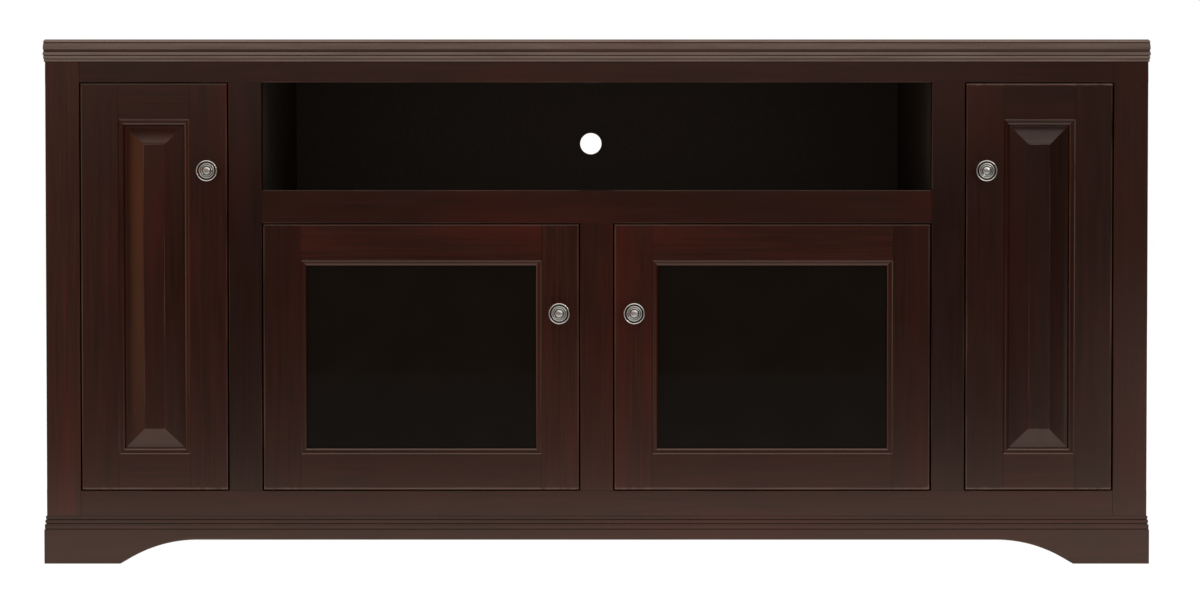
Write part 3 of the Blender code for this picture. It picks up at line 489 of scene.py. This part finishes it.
def mitred_strip(outline, side):
    """An outline of (reach, height) run along the front, or along one end, with its front ends mitred.

    Each point runs as far as the cabinet's corner plus its own reach, so the end is cut at 45 degrees.
    """
    reach, height = outline.T
    if side == 0:
        starts = np.column_stack([-outer_edge - reach, frame_front - reach, height])
        return np.stack([starts, starts * np.array([-1, 1, 1])])
    gap = fit * math.sqrt(2)
    starts = np.column_stack([side * (outer_edge + reach), frame_front - reach + gap, height])
    ends = np.column_stack([side * (outer_edge + reach), np.full(len(reach), cabinet_back), height])
    return np.stack([starts, ends])


moulding_heights = np.array([0.004, 0.0055, 0.0055])
moulding_reach, moulding_bulge, moulding_lean = 0.003, 0.0009, 0.4
moulding_bottom = frame_top - moulding_heights.sum()
reed_line, reed_wear_and_highlight = reeded(
    moulding_heights, moulding_bottom, moulding_reach, moulding_bulge, moulding_lean, True
)
moulding = np.concatenate([[[fit, frame_top], [fit, moulding_bottom]], reed_line])
# Painted light: the crests are drawn paler at the start of each strip than at its end, so the front is paler
# at the left and the ends paler at the front.
start_rub_and_painted_light, end_rub_and_painted_light = 1.1, 0.85
moulding_wear_and_highlight = np.concatenate([[0, 0], reed_wear_and_highlight])
moulding_wear_and_highlight = np.stack([moulding_wear_and_highlight * start_rub_and_painted_light, moulding_wear_and_highlight * end_rub_and_painted_light])
for side, label in ((0, "front"), (-1, "left"), (1, "right")):
    skin(
        f"top_moulding_{label}_reeded", mitred_strip(moulding, side), satin_deep if side else satin_across,
        "cabinet", [f"top_moulding_{label}"], moulding_wear_and_highlight,
    )


# Base
# Skirt boards that carry the cabinet, mitred at the front corners, reeded along the top and arched
# between bracket feet; a plain board closes the back. The low boards catch the light of the floor,
# so the lacquer looks paler there than higher up.
def arch_height(across, half_span):
    """Height of a skirt's lower edge at a distance from the arch's middle.

    Zero on the feet, then a 30 degree slope 9.7 mm high, a 200 mm arc that levels out, and a flat.
    """
    slope = math.radians(30)
    rise, radius = 0.0097, 0.200
    arc_start = half_span - rise / math.tan(slope)
    arc_end = arc_start - radius * math.sin(slope)
    distance = np.abs(across)
    on_slope = (half_span - distance) * math.tan(slope)
    drop = np.clip(distance - arc_end, 0, radius)
    on_arc = rise - radius * math.cos(slope) + np.sqrt(radius**2 - drop**2)
    height = np.where(distance > arc_start, on_slope, on_arc)
    return np.clip(height, 0, None)


base_low, base_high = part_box("base_front")
base_half = base_high.x
base_reach = frame_front - base_low.y
base_inner = frame_front - base_high.y
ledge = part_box("base_back")[1].z
base_heights = np.array([0.009, 0.0065, 0.0055])
ledge_step, base_bulge = 0.0007, 0.0018
base_line, _ = reeded(base_heights, ledge, base_reach - ledge_step, base_bulge, 0.0, False)
lower_ease, kept_edge, ledge_margin = 0.001, 0.005, 0.004
turn = np.linspace(0, np.pi / 2, 5)
lower_edge = np.column_stack([base_reach + lower_ease * (np.sin(turn) - 1), lower_ease * (1 - np.cos(turn))])
skirt = np.concatenate([
    [[fit, ledge + base_heights.sum()], [fit, ledge], [base_inner, ledge], [base_inner, 0.0]],
    lower_edge,
    [[base_reach, kept_edge], [base_reach, ledge - ledge_margin], [base_reach, ledge]],
    base_line,
])
skirt_wear = np.concatenate([np.zeros(4), np.ones(len(turn)), [0, 0, 0.2], np.zeros(len(base_line))])


def arched_skirt(side, half_span, middle, run):
    """The skirt outline carried along a run of stations, its lower part lifted by the arch.

    The lowest 5 mm rise with the arch and keep their shape. Heights above them are squeezed in
    proportion, so that the ledge and the reeds stay level.
    """
    height = skirt[:, 1]
    strip = mitred_strip(skirt, side)
    axis = 1 if side else 0
    stations = np.repeat(strip[:1], len(run), axis=0)
    stations[:, :, axis] = np.asarray(run)[:, None]
    rings = np.concatenate([strip[:1], stations, strip[1:]])
    lift = arch_height(rings[:, :, axis] - middle, half_span)
    low = np.minimum(height, ledge)
    near = np.minimum(low, kept_edge)
    squeezed = (low - near) * (ledge - lift - near) / (ledge - near)
    rings[:, :, 2] = np.where(height < ledge, lift + near + squeezed, height)
    return rings


def arch_stations(half_span, middle, reach):
    """Stations along a skirt: close together over the slopes and arcs, one in from each mitre."""
    curve_run, steps = 0.1175, 36
    curve = np.linspace(half_span - curve_run, half_span, steps)
    return np.concatenate([[middle - reach], middle - curve[::-1], middle + curve, [middle + reach]])


wood_deep = espresso_lacquer("y", *rubbed_and_highlit_finish)
front_foot, front_reach = 0.115, 0.81
side_foot, side_reach = 0.075, 0.2
front_span = base_half - front_foot
side_middle = (base_low.y + cabinet_back) / 2
side_span = (cabinet_back - base_low.y) / 2 - side_foot
base_boards = {
    "front": (0, front_span, 0.0, front_reach, wood_across),
    "left": (-1, side_span, side_middle, side_reach, wood_deep),
    "right": (1, side_span, side_middle, side_reach, wood_deep),
}
for label, (side, span, middle, reach, wood) in base_boards.items():
    rings = arched_skirt(side, span, middle, arch_stations(span, middle, reach))
    skin(
        f"base_{label}_arched", rings, wood, "cabinet",
        [f"base_{label}"], np.broadcast_to(skirt_wear, rings.shape[:2]),
    )
finish_solids(["base_back"], wood_across)

# Doors
# Inset frame-and-panel doors: stiles and rails moulded on their inner edge, rails coped over stiles.
# The side doors hold a raised hardwood panel, the middle doors a pane of dark tinted glass.
door_front, door_back = [corner.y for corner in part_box("left_side_door_hinge_stile")]
door_thickness = door_back - door_front
door_gap, door_ease, back_ease = 0.0025, 0.0015, 0.0005
free_edge_growth = 0.0006
stile_face, rail_face = 0.056, 0.053
sticking_width, groove_start, groove_depth = 0.009, 0.007, 0.010
glass_thickness, tongue_thickness = 0.004, 0.0055
face_margin = 0.004
ease_turn = np.linspace(0, np.pi / 2, 7)
bead_turn = np.linspace(0, np.pi / 2, 13)
sticking_depth = np.concatenate([
    [0.0, 0.0003, 0.0019, 0.0022], 0.0022 + 0.0038 * (1 - np.cos(bead_turn)), [groove_start]
])
sticking_reach = np.concatenate([
    [0.0, 0.0002, 0.0018, 0.0024], 0.0038 + 0.0052 * np.sin(bead_turn), [sticking_width]
])


def stick_levels(groove_width):
    """Depths through a door's thickness with the easing of the outer edge and the reach of the inner one.

    In front lie the quarter-round easing, 1.5 mm, and the sticking: chamfer, flat and quarter-round
    bead. Behind them lie the groove and a square lip, all met at one shared list of depths.
    """
    eased_depth = door_ease * (1 - np.cos(ease_turn))
    eased = door_ease * (1 - np.sin(ease_turn))
    depth = np.unique(np.round(np.concatenate([eased_depth, sticking_depth]), 6))
    front = np.interp(depth, eased_depth, eased, right=0.0)
    reach = np.interp(depth, sticking_depth, sticking_reach)
    groove_end = groove_start + groove_width
    behind = [groove_start, groove_end, groove_end, door_thickness - back_ease, door_thickness]
    depth = np.concatenate([depth, behind])
    easing = np.concatenate([front, [0, 0, 0, 0, back_ease]])
    reach = np.concatenate([reach, [sticking_width - groove_depth] * 2, [sticking_width] * 3])
    return depth, easing, reach


def stacked(depth, left, right, low, high, hinge_edge, inward, floor):
    """Rectangles stacked through a door's thickness, from its hinge edge inward and its lower edge up.

    At each depth a ring runs from (left, low) by (right, low) and (right, high) to (left, high), with
    two more points on each upright side, 4 mm in from its ends.
    """
    set_in = 0.004
    across = np.stack([left, right, right, right, right, left, left, left], axis=1)
    low_in, high_in = low + set_in, high - set_in
    up = np.stack([low, low, low_in, high_in, high, high, high_in, low_in], axis=1)
    deep = np.broadcast_to(depth[:, None], across.shape)
    x = hinge_edge + inward * (door_gap + across)
    return np.stack([x, door_front + deep, floor + door_gap + up], axis=-1)


def faced(levels, margins):
    """Put a first ring on the front face: each list of levels starts with its first one plus a margin."""
    first = [level[:1] + margin for level, margin in zip(levels, margins)]
    return [np.concatenate([start, level]) for start, level in zip(first, levels)]


cove = np.linspace(1, 0, 10)
panel_depth = np.concatenate([
    [0.0008, 0.0008, 0.0009, 0.0012, 0.0018], 0.0070 - 0.0049 * cove**1.4, [0.0073, 0.0073, 0.0128]
])
panel_inset = np.concatenate([
    [0.0335, 0.0294, 0.02908, 0.029, 0.029], 0.0016 + 0.0258 * cove, [0.0, -0.0085, -0.0085]
])
# Painted highlight: the arris of the raised field, at its step, is drawn paler, as wear and as the light it
# catches.
panel_wear_and_highlight = np.concatenate([[0, 0.9, 1.0, 0.9, 0.1], np.zeros(len(cove) + 3)])

# Dark tinted float glass is close to black, and a thin film in patches 70 mm wide dulls its shine.
film_mm = 70
smoked_glass, tree, shader = start_material(
    "smoked_float_glass",
    {"Transmission Weight": 0.15, "IOR": 1.5, "Specular IOR Level": 0.02},
)
place = add(tree, "ShaderNodeTexCoord", {})
sockets = {"Vector": place.outputs["Object"], "Scale": 1000 / film_mm, "Detail": 3}
film = add(tree, "ShaderNodeTexNoise", sockets).outputs[0]
tint = between(tree, film, 0.35, 0.65, linear("#15100C"), linear("#17120E"))
tree.links.new(tint, shader.inputs["Base Color"])
smear = add(tree, "ShaderNodeMapRange", {0: film, 1: 0.3, 2: 0.7, 3: 0.02, 4: 0.07})
tree.links.new(smear.outputs[0], shader.inputs["Roughness"])

door_tones = {
    "left_glass_door_hinge_stile": -0.15, "right_glass_door_hinge_stile": -0.15,
    "left_glass_door_latch_stile": 0.3, "right_glass_door_latch_stile": 0.25,
    "left_glass_door_top_rail": 0.2, "right_glass_door_top_rail": 0.2,
    "right_side_door_hinge_stile": -0.3, "right_side_door_latch_stile": -0.25,
    "right_side_door_top_rail": -0.3,
    "left_side_door_panel": -0.15, "right_side_door_panel": -0.4,
}
# Each door: the side it hangs on, the edges of its opening at hinge and latch, and the opening's head.
doors = {}
for side, label in ((-1, "left"), (1, "right")):
    doors[f"{label}_side_door"] = (side, side * opening_outer, side * opening_inner, top_rail_bottom)
    doors[f"{label}_glass_door"] = (side, side * bay_half, side * mullion_half, middle_rail[0])

wear_depth = 0.0016
# The lower edges are drawn paler than the sides: a painted highlight as if lit from the floor, on top of
# wear.
low_rub_and_highlight, side_rub = 1.5, 1.0
for door, (side, hinge_edge, latch_edge, head) in doors.items():
    glazed = "glass" in door
    inward = -side
    width = abs(latch_edge - hinge_edge) - 2 * door_gap
    height = head - bottom_rail_top - 2 * door_gap
    place_in = (hinge_edge, inward, bottom_rail_top)
    depth, easing, reach = stick_levels((glass_thickness if glazed else tongue_thickness) + 2 * fit)
    wear_and_highlight = np.concatenate([[0], np.exp(-((depth / wear_depth) ** 2))])[:, None]
    rail_left = stile_face + reach + fit
    rail_right = width - rail_left
    latch_sight = width - stile_face - reach
    head_sight = height - rail_face - reach
    foot = easing - free_edge_growth
    crest = height - foot
    # How much each point round a ring is drawn paler, in stacked's order from the lower hinge corner. It is
    # wear on the sides. Along the lower edges, and along the right side door's top edge, it is also a
    # painted highlight.
    top_rub_and_highlight = 1.4 if door == "right_side_door" else 0.4
    hinge_rubs_and_highlights = (low_rub_and_highlight, low_rub_and_highlight, 0, 0, top_rub_and_highlight, top_rub_and_highlight, side_rub, side_rub)
    latch_rubs_and_highlights = (low_rub_and_highlight, low_rub_and_highlight, side_rub, side_rub, top_rub_and_highlight, top_rub_and_highlight, 0, 0)
    lower_rubs_and_highlights = (low_rub_and_highlight, low_rub_and_highlight, 0, 0, 0, 0, 0, 0)
    upper_rubs_and_highlights = (0, 0, 0, 0, top_rub_and_highlight, top_rub_and_highlight, 0, 0)
    sticks = {
        "hinge_stile": (easing, stile_face + reach, foot, crest, wood_upright, hinge_rubs_and_highlights),
        "latch_stile": (latch_sight, width - foot, foot, crest, wood_upright, latch_rubs_and_highlights),
        "bottom_rail": (rail_left, rail_right, foot, rail_face + reach, wood_across, lower_rubs_and_highlights),
        "top_rail": (rail_left, rail_right, head_sight, crest, wood_across, upper_rubs_and_highlights),
    }
    for stick, (left, right, low, high, wood, rubs) in sticks.items():
        end_margin = face_margin if "stile" in stick else 0.0
        margins = [0, end_margin, -end_margin, face_margin, -face_margin]
        levels = faced([depth, left, right, low, high], margins)
        skin(
            f"{door}_{stick}_moulded", stacked(*levels, *place_in), wood, door, [f"{door}_{stick}"],
            wear_and_highlight * np.array(rubs), door_tones.get(f"{door}_{stick}", 0.0),
        )
    if glazed:
        finish_solids([f"{door}_glass"], smoked_glass)
        continue
    side_sight = stile_face + sticking_width
    end_sight = rail_face + sticking_width
    panel = stacked(
        panel_depth, side_sight + panel_inset, width - side_sight - panel_inset,
        end_sight + panel_inset, height - end_sight - panel_inset, *place_in,
    )
    skin(
        f"{door}_panel_raised", panel, wood_upright, door,
        [f"{door}_panel"], panel_wear_and_highlight, door_tones[f"{door}_panel"], sharp=4,
    )

# Knobs
# Cast pewter knobs, turned with a dome, rings and a rim, blackened and rubbed bright on the ridges.
# Each is drawn to the door's latch stile by a screw from behind.

# The hollows of antiqued pewter stay near black and its ridges shine silver-grey. The casting's mottle
# is drawn coarser than the real one, 2.2 mm, so that it shows.
casting_mm = 2.2
pewter, tree, shader = start_material("antiqued_pewter", {"Metallic": 1.0})
place = add(tree, "ShaderNodeTexCoord", {})
sockets = {"Vector": place.outputs["Object"], "Scale": 1000 / casting_mm, "Detail": 4}
cast = add(tree, "ShaderNodeTexNoise", sockets).outputs[0]
worn_and_highlit = add(tree, "ShaderNodeAttribute", {}, attribute_name="wear_and_highlight")
sockets = {0: cast, 1: 0.45, 2: worn_and_highlit.outputs["Fac"]}
patchy = add(tree, "ShaderNodeMath", sockets, operation="MULTIPLY_ADD").outputs[0]
colour = between(tree, patchy, 0.28, 1.15, linear("#171513"), linear("#CDC9C2"))
tree.links.new(colour, shader.inputs["Base Color"])
gloss = add(tree, "ShaderNodeMapRange", {0: patchy, 1: 0.2, 2: 1.1, 3: 0.55, 4: 0.3})
tree.links.new(gloss.outputs[0], shader.inputs["Roughness"])
relief = add(tree, "ShaderNodeBump", {"Height": cast, "Strength": 0.35, "Distance": 0.0002})
tree.links.new(relief.outputs[0], shader.inputs["Normal"])


def turned_knob(steps=64):
    """A knob turned about Y: dome, two rings and a rim side by side, then a hollow neck and a foot.

    Each ridge runs r = centre + width cos t, h = base + rise sin t for t from a half turn to nothing,
    and its polish follows sin t, so the meeting lines stay black.
    """
    turn = np.linspace(np.pi, 0, 17)
    dome = np.linspace(np.pi / 2, 0, 13)[:-1]
    ridge_centre = np.array([[0.0079], [0.0107], [0.0149]])
    ridge_width = np.array([[0.0009], [0.0012], [0.0009]])
    ridge_base = np.array([[0.0236], [0.0234], [0.0233]])
    ridge_rise = np.array([[0.0009], [0.0008], [0.0013]])
    ridge_polish = np.array([[0.75], [0.65], [1.0]])
    radius = np.concatenate([
        0.0060 * np.cos(dome) + 0.0001,
        [0.0062, 0.0066],
        (ridge_centre + ridge_width * np.cos(turn)).ravel(),
        [0.0157, 0.0144, 0.0118, 0.0090, 0.0070, 0.0058, 0.0055],
        [0.0055, 0.0062, 0.0078, 0.0085, 0.0085, 0.0001],
    ])
    height = np.concatenate([
        0.0243 + 0.0028 * np.sin(dome),
        [0.0240, 0.0229],
        (ridge_base + ridge_rise * np.sin(turn)).ravel(),
        [0.0222, 0.0208, 0.0182, 0.0150, 0.0122, 0.0098, 0.0082],
        [0.0066, 0.0050, 0.0038, 0.0030, 0.0003, 0.0003],
    ])
    polish = np.concatenate([
        0.3 + 0.3 * np.sin(dome) ** 0.5,
        [0.1, 0.0],
        (np.sin(turn)[None] ** 0.7 * ridge_polish).ravel(),
        [0.5, 0.35, 0.2, 0.15, 0.1, 0.1, 0.1],
        [0.1, 0.15, 0.35, 0.5, 0.4, 0.2],
    ])
    angle = np.linspace(0, 2 * np.pi, steps + 1)[:-1]
    x = radius[:, None] * np.cos(angle)
    z = radius[:, None] * np.sin(angle)
    y = np.broadcast_to(-height[:, None], x.shape)
    return np.stack([x, y, z], axis=-1), polish


knob_rings, knob_polish = turned_knob()
knob_screw = cross_head(radius=0.0042, rise=0.0016)
for door in doors:
    centre = sum(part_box(f"{door}_knob"), Vector()) / 2
    skin(
        f"{door}_knob_turned", knob_rings, pewter, door,
        [f"{door}_knob"], knob_polish, places=[(centre.x, door_front, centre.z)],
    )
    behind = (centre.x, door_back, centre.z)
    skin(f"{door}_knob_screw", knob_screw, steel, door, places=[behind])
    finish_solids([f"{door}_pin_top", f"{door}_pin_bottom"], browned_steel)

# Catches
# A brown plastic magnet case screwed behind the rail at each door's free corner holds it shut.
# A thin steel strike on the door's back meets the magnet's two pole plates.

# Moulded plastic gives an even satin brown. The mould's texture is drawn 1.5 mm wide so that it shows.
mould_mm = 1.5
brown_plastic, tree, shader = start_material("moulded_abs_plastic", {"IOR": 1.54})
place = add(tree, "ShaderNodeTexCoord", {})
sockets = {"Vector": place.outputs["Object"], "Scale": 1000 / mould_mm, "Detail": 3}
mould = add(tree, "ShaderNodeTexNoise", sockets).outputs[0]
colour = between(tree, mould, 0.3, 0.7, linear("#1D120D"), linear("#251812"))
tree.links.new(colour, shader.inputs["Base Color"])
satin = add(tree, "ShaderNodeMapRange", {0: mould, 3: 0.38, 4: 0.52})
tree.links.new(satin.outputs[0], shader.inputs["Roughness"])
relief = add(tree, "ShaderNodeBump", {"Height": mould, "Strength": 0.25, "Distance": 0.0001})
tree.links.new(relief.outputs[0], shader.inputs["Normal"])

catch_inset, catch_length, catch_drop, catch_rise = 0.030, 0.046, 0.016, 0.028
case_front, case_back, case_ease = frame_back + 0.0002, frame_back + 0.0145, 0.001
pole_front, pole_back, pole_ease = frame_back + 0.0001, frame_back + 0.002, 0.0002
pole_margin, pole_level, pole_height, pole_spacing = 0.006, 0.002, 0.0025, 0.006
strike_margin, strike_level, strike_height = 0.003, 0.0005, 0.011
strike_back, strike_ease = door_back + 0.0008, 0.0003
for door, (side, _, latch_edge, head) in doors.items():
    inner = latch_edge + side * catch_inset
    low_x, high_x = sorted((inner, inner + side * catch_length))
    low_z, high_z = head - catch_drop, head + catch_rise
    case, _ = eased_board((low_x, case_front, low_z), (high_x, case_back, high_z), "x", case_ease)
    skin(f"{door}_catch_case", case, brown_plastic, "cabinet")
    pole_low = (low_x + pole_margin, pole_front, low_z + pole_level)
    pole_high = (high_x - pole_margin, pole_back, low_z + pole_level + pole_height)
    plate, _ = eased_board(pole_low, pole_high, "x", pole_ease)
    skin(
        f"{door}_catch_poles", plate, steel, "cabinet",
        places=[(0, 0, 0), (0, 0, pole_spacing)],
    )
    strike_low = (low_x + strike_margin, door_back, low_z + strike_level)
    strike_high = (high_x - strike_margin, strike_back, low_z + strike_level + strike_height)
    strike, _ = eased_board(strike_low, strike_high, "x", strike_ease)
    skin(f"{door}_strike", strike, steel, door)

# Studio
# A white floor and a white room, even to the eye and to matt surfaces, that gloss sees as dim.
# Gloss finds a pool of light on the floor before the cabinet, a soft box overhead, pale cards in
# front, a small bright card high at the right, and a window card and an amber card at the left.
floor_half, floor_front, floor_back = 9, -6, 12
floor_corners = [(-floor_half, floor_front, 0), (floor_half, floor_front, 0)]
floor_corners += [(floor_half, floor_back, 0), (-floor_half, floor_back, 0)]
floor_mesh = bpy.data.meshes.new("floor")
floor_mesh.from_pydata(floor_corners, [], [(0, 1, 2, 3)])
floor = bpy.data.objects.new("floor", floor_mesh)
bpy.context.scene.collection.objects.link(floor)
sockets = {"Base Color": linear("#505050"), "Specular IOR Level": 0.0, "Emission Color": linear("#FFFFFF")}
material, tree, shader = start_material("white_floor", sockets)
# Matt white paint, lit evenly. The pool fades with the distance from the cabinet's foot, is stronger to
# the right, and is weaker behind the front, where the cabinet stands in its way.
pool_scale, pool_foot = (2.5, 1.0, 0.0), (-2.1, -0.25, 0.0)
pool_core, pool_fade, pool_limit = 0.4, -1.2, 1.3
pool_left, pool_right, pool_behind = 0.58, 0.97, 0.4
place = add(tree, "ShaderNodeTexCoord", {})
away = add(tree, "ShaderNodeVectorMath", {0: place.outputs["Object"]}, operation="ABSOLUTE")
sockets = {0: away.outputs[0], 1: pool_scale, 2: pool_foot}
away = add(tree, "ShaderNodeVectorMath", sockets, operation="MULTIPLY_ADD")
away = add(tree, "ShaderNodeSeparateXYZ", {0: away.outputs[0]})
away = add(tree, "ShaderNodeMath", {0: away.outputs["X"], 1: away.outputs["Y"]}, operation="MAXIMUM")
away = add(tree, "ShaderNodeMath", {0: away.outputs[0], 1: pool_core}, operation="MAXIMUM")
faded = add(tree, "ShaderNodeMath", {0: away.outputs[0], 1: pool_fade}, operation="POWER")
across = add(tree, "ShaderNodeSeparateXYZ", {0: place.outputs["Object"]})
sockets = {0: across.outputs["X"], 1: -1.5, 2: 1.5, 3: pool_left, 4: pool_right}
lean = add(tree, "ShaderNodeMapRange", sockets)
pool = add(tree, "ShaderNodeMath", {0: faded.outputs[0], 1: lean.outputs[0]}, operation="MULTIPLY")
pool = add(tree, "ShaderNodeMath", {0: pool.outputs[0], 1: pool_limit}, operation="MINIMUM")
sockets = {0: across.outputs["Y"], 1: -0.3, 2: 0.1, 3: 1.0, 4: pool_behind}
behind = add(tree, "ShaderNodeMapRange", sockets)
pool = add(tree, "ShaderNodeMath", {0: pool.outputs[0], 1: behind.outputs[0]}, operation="MULTIPLY")
ray = add(tree, "ShaderNodeLightPath", {})
glow = add(tree, "ShaderNodeMix", {0: ray.outputs["Is Glossy Ray"], 2: 1.0, 3: pool.outputs[0]})
tree.links.new(glow.outputs[0], shader.inputs["Emission Strength"])
floor_mesh.materials.append(material)

dim_room = 0.02
world = bpy.data.worlds.new("white_room")
world.use_nodes = True
tree = world.node_tree
ray = add(tree, "ShaderNodeLightPath", {})
room = add(tree, "ShaderNodeMix", {0: ray.outputs["Is Glossy Ray"], 2: 1.0, 3: dim_room})
tree.links.new(room.outputs[0], tree.nodes["Background"].inputs["Strength"])
tree.nodes["Background"].inputs["Color"].default_value = (1.0, 1.0, 1.0, 1.0)
bpy.context.scene.world = world
bpy.context.scene.view_settings.view_transform = "Standard"


def soft_box(name, place, target, width, height, brightness, colour):
    """An area light turned to a target, for gloss alone; its power is brightness times area times pi."""
    light = bpy.data.lights.new(name, "AREA")
    light.shape = "RECTANGLE"
    light.size, light.size_y = width, height
    light.energy = brightness * math.pi * width * height
    light.color = linear(colour)[:3]
    lamp = bpy.data.objects.new(name, light)
    lamp.location = place
    lamp.rotation_euler = (Vector(target) - Vector(place)).to_track_quat("-Z", "Y").to_euler()
    lamp.visible_camera = False
    lamp.visible_diffuse = False
    bpy.context.scene.collection.objects.link(lamp)


soft_box("ceiling_soft_box", (0.0, -1.7, 3.0), (0.0, -1.7, 0.0), 5.0, 4.4, 2.1, "#FFFAF5")
soft_box("high_card", (-0.35, -6.0, 1.4), (-0.35, 0.0, 1.4), 3.9, 0.75, 0.65, "#FFFFFF")
soft_box("upper_card", (0.3, -6.0, 4.3), (0.3, 0.0, 4.3), 5.0, 1.5, 0.8, "#FFFFFF")
soft_box("corner_card", (1.75, -6.0, 3.85), (1.75, 0.0, 3.85), 1.1, 2.5, 1.7, "#E6ECFF")
soft_box("left_card", (-2.28, -6.0, 0.9), (-2.28, 0.0, 0.9), 0.65, 1.8, 0.5, "#FFF4EC")
soft_box("window_card", (-3.6, -0.5, 0.8), (0.0, -0.4, 0.5), 1.6, 1.6, 1.5, "#FFEEDF")
soft_box("right_card", (2.25, -6.0, 0.9), (2.25, 0.0, 0.9), 0.65, 1.8, 0.3, "#FFFFFF")
soft_box("low_card", (1.5, -2.62, 0.15), (1.5, 0.0, 0.15), 0.5, 0.3, 0.8, "#FFFFFF")
soft_box("key_card", (2.6, -2.6, 2.6), (0.0, -0.3, 0.5), 0.7, 0.7, 38.0, "#FFFFFF")
soft_box("amber_card", (-2.9, -2.0, 0.7), (-0.7, -0.22, 0.5), 2.2, 2.0, 1.0, "#FFC096")

# Camera
# Front-on from four metres, a little above the middle of the cabinet's height, tipped slightly down.
# The focal length is in pixels of the 1200 pixel wide picture.
sensor_width, picture_width, focal_pixels = 36.0, 1200, 2642
eye_across, eye_distance, eye_height, tip_down = 0.005, 4.0, 0.49, 1.32
lens = bpy.data.cameras.new("camera")
lens.sensor_width = sensor_width
lens.lens = sensor_width * focal_pixels / picture_width
lens.clip_end = 100.0
camera = bpy.data.objects.new("camera", lens)
camera.location = (eye_across, frame_front - eye_distance, eye_height)
camera.rotation_euler = (math.radians(90 - tip_down), 0.0, 0.0)
bpy.context.scene.collection.objects.link(camera)
bpy.context.scene.camera = camera
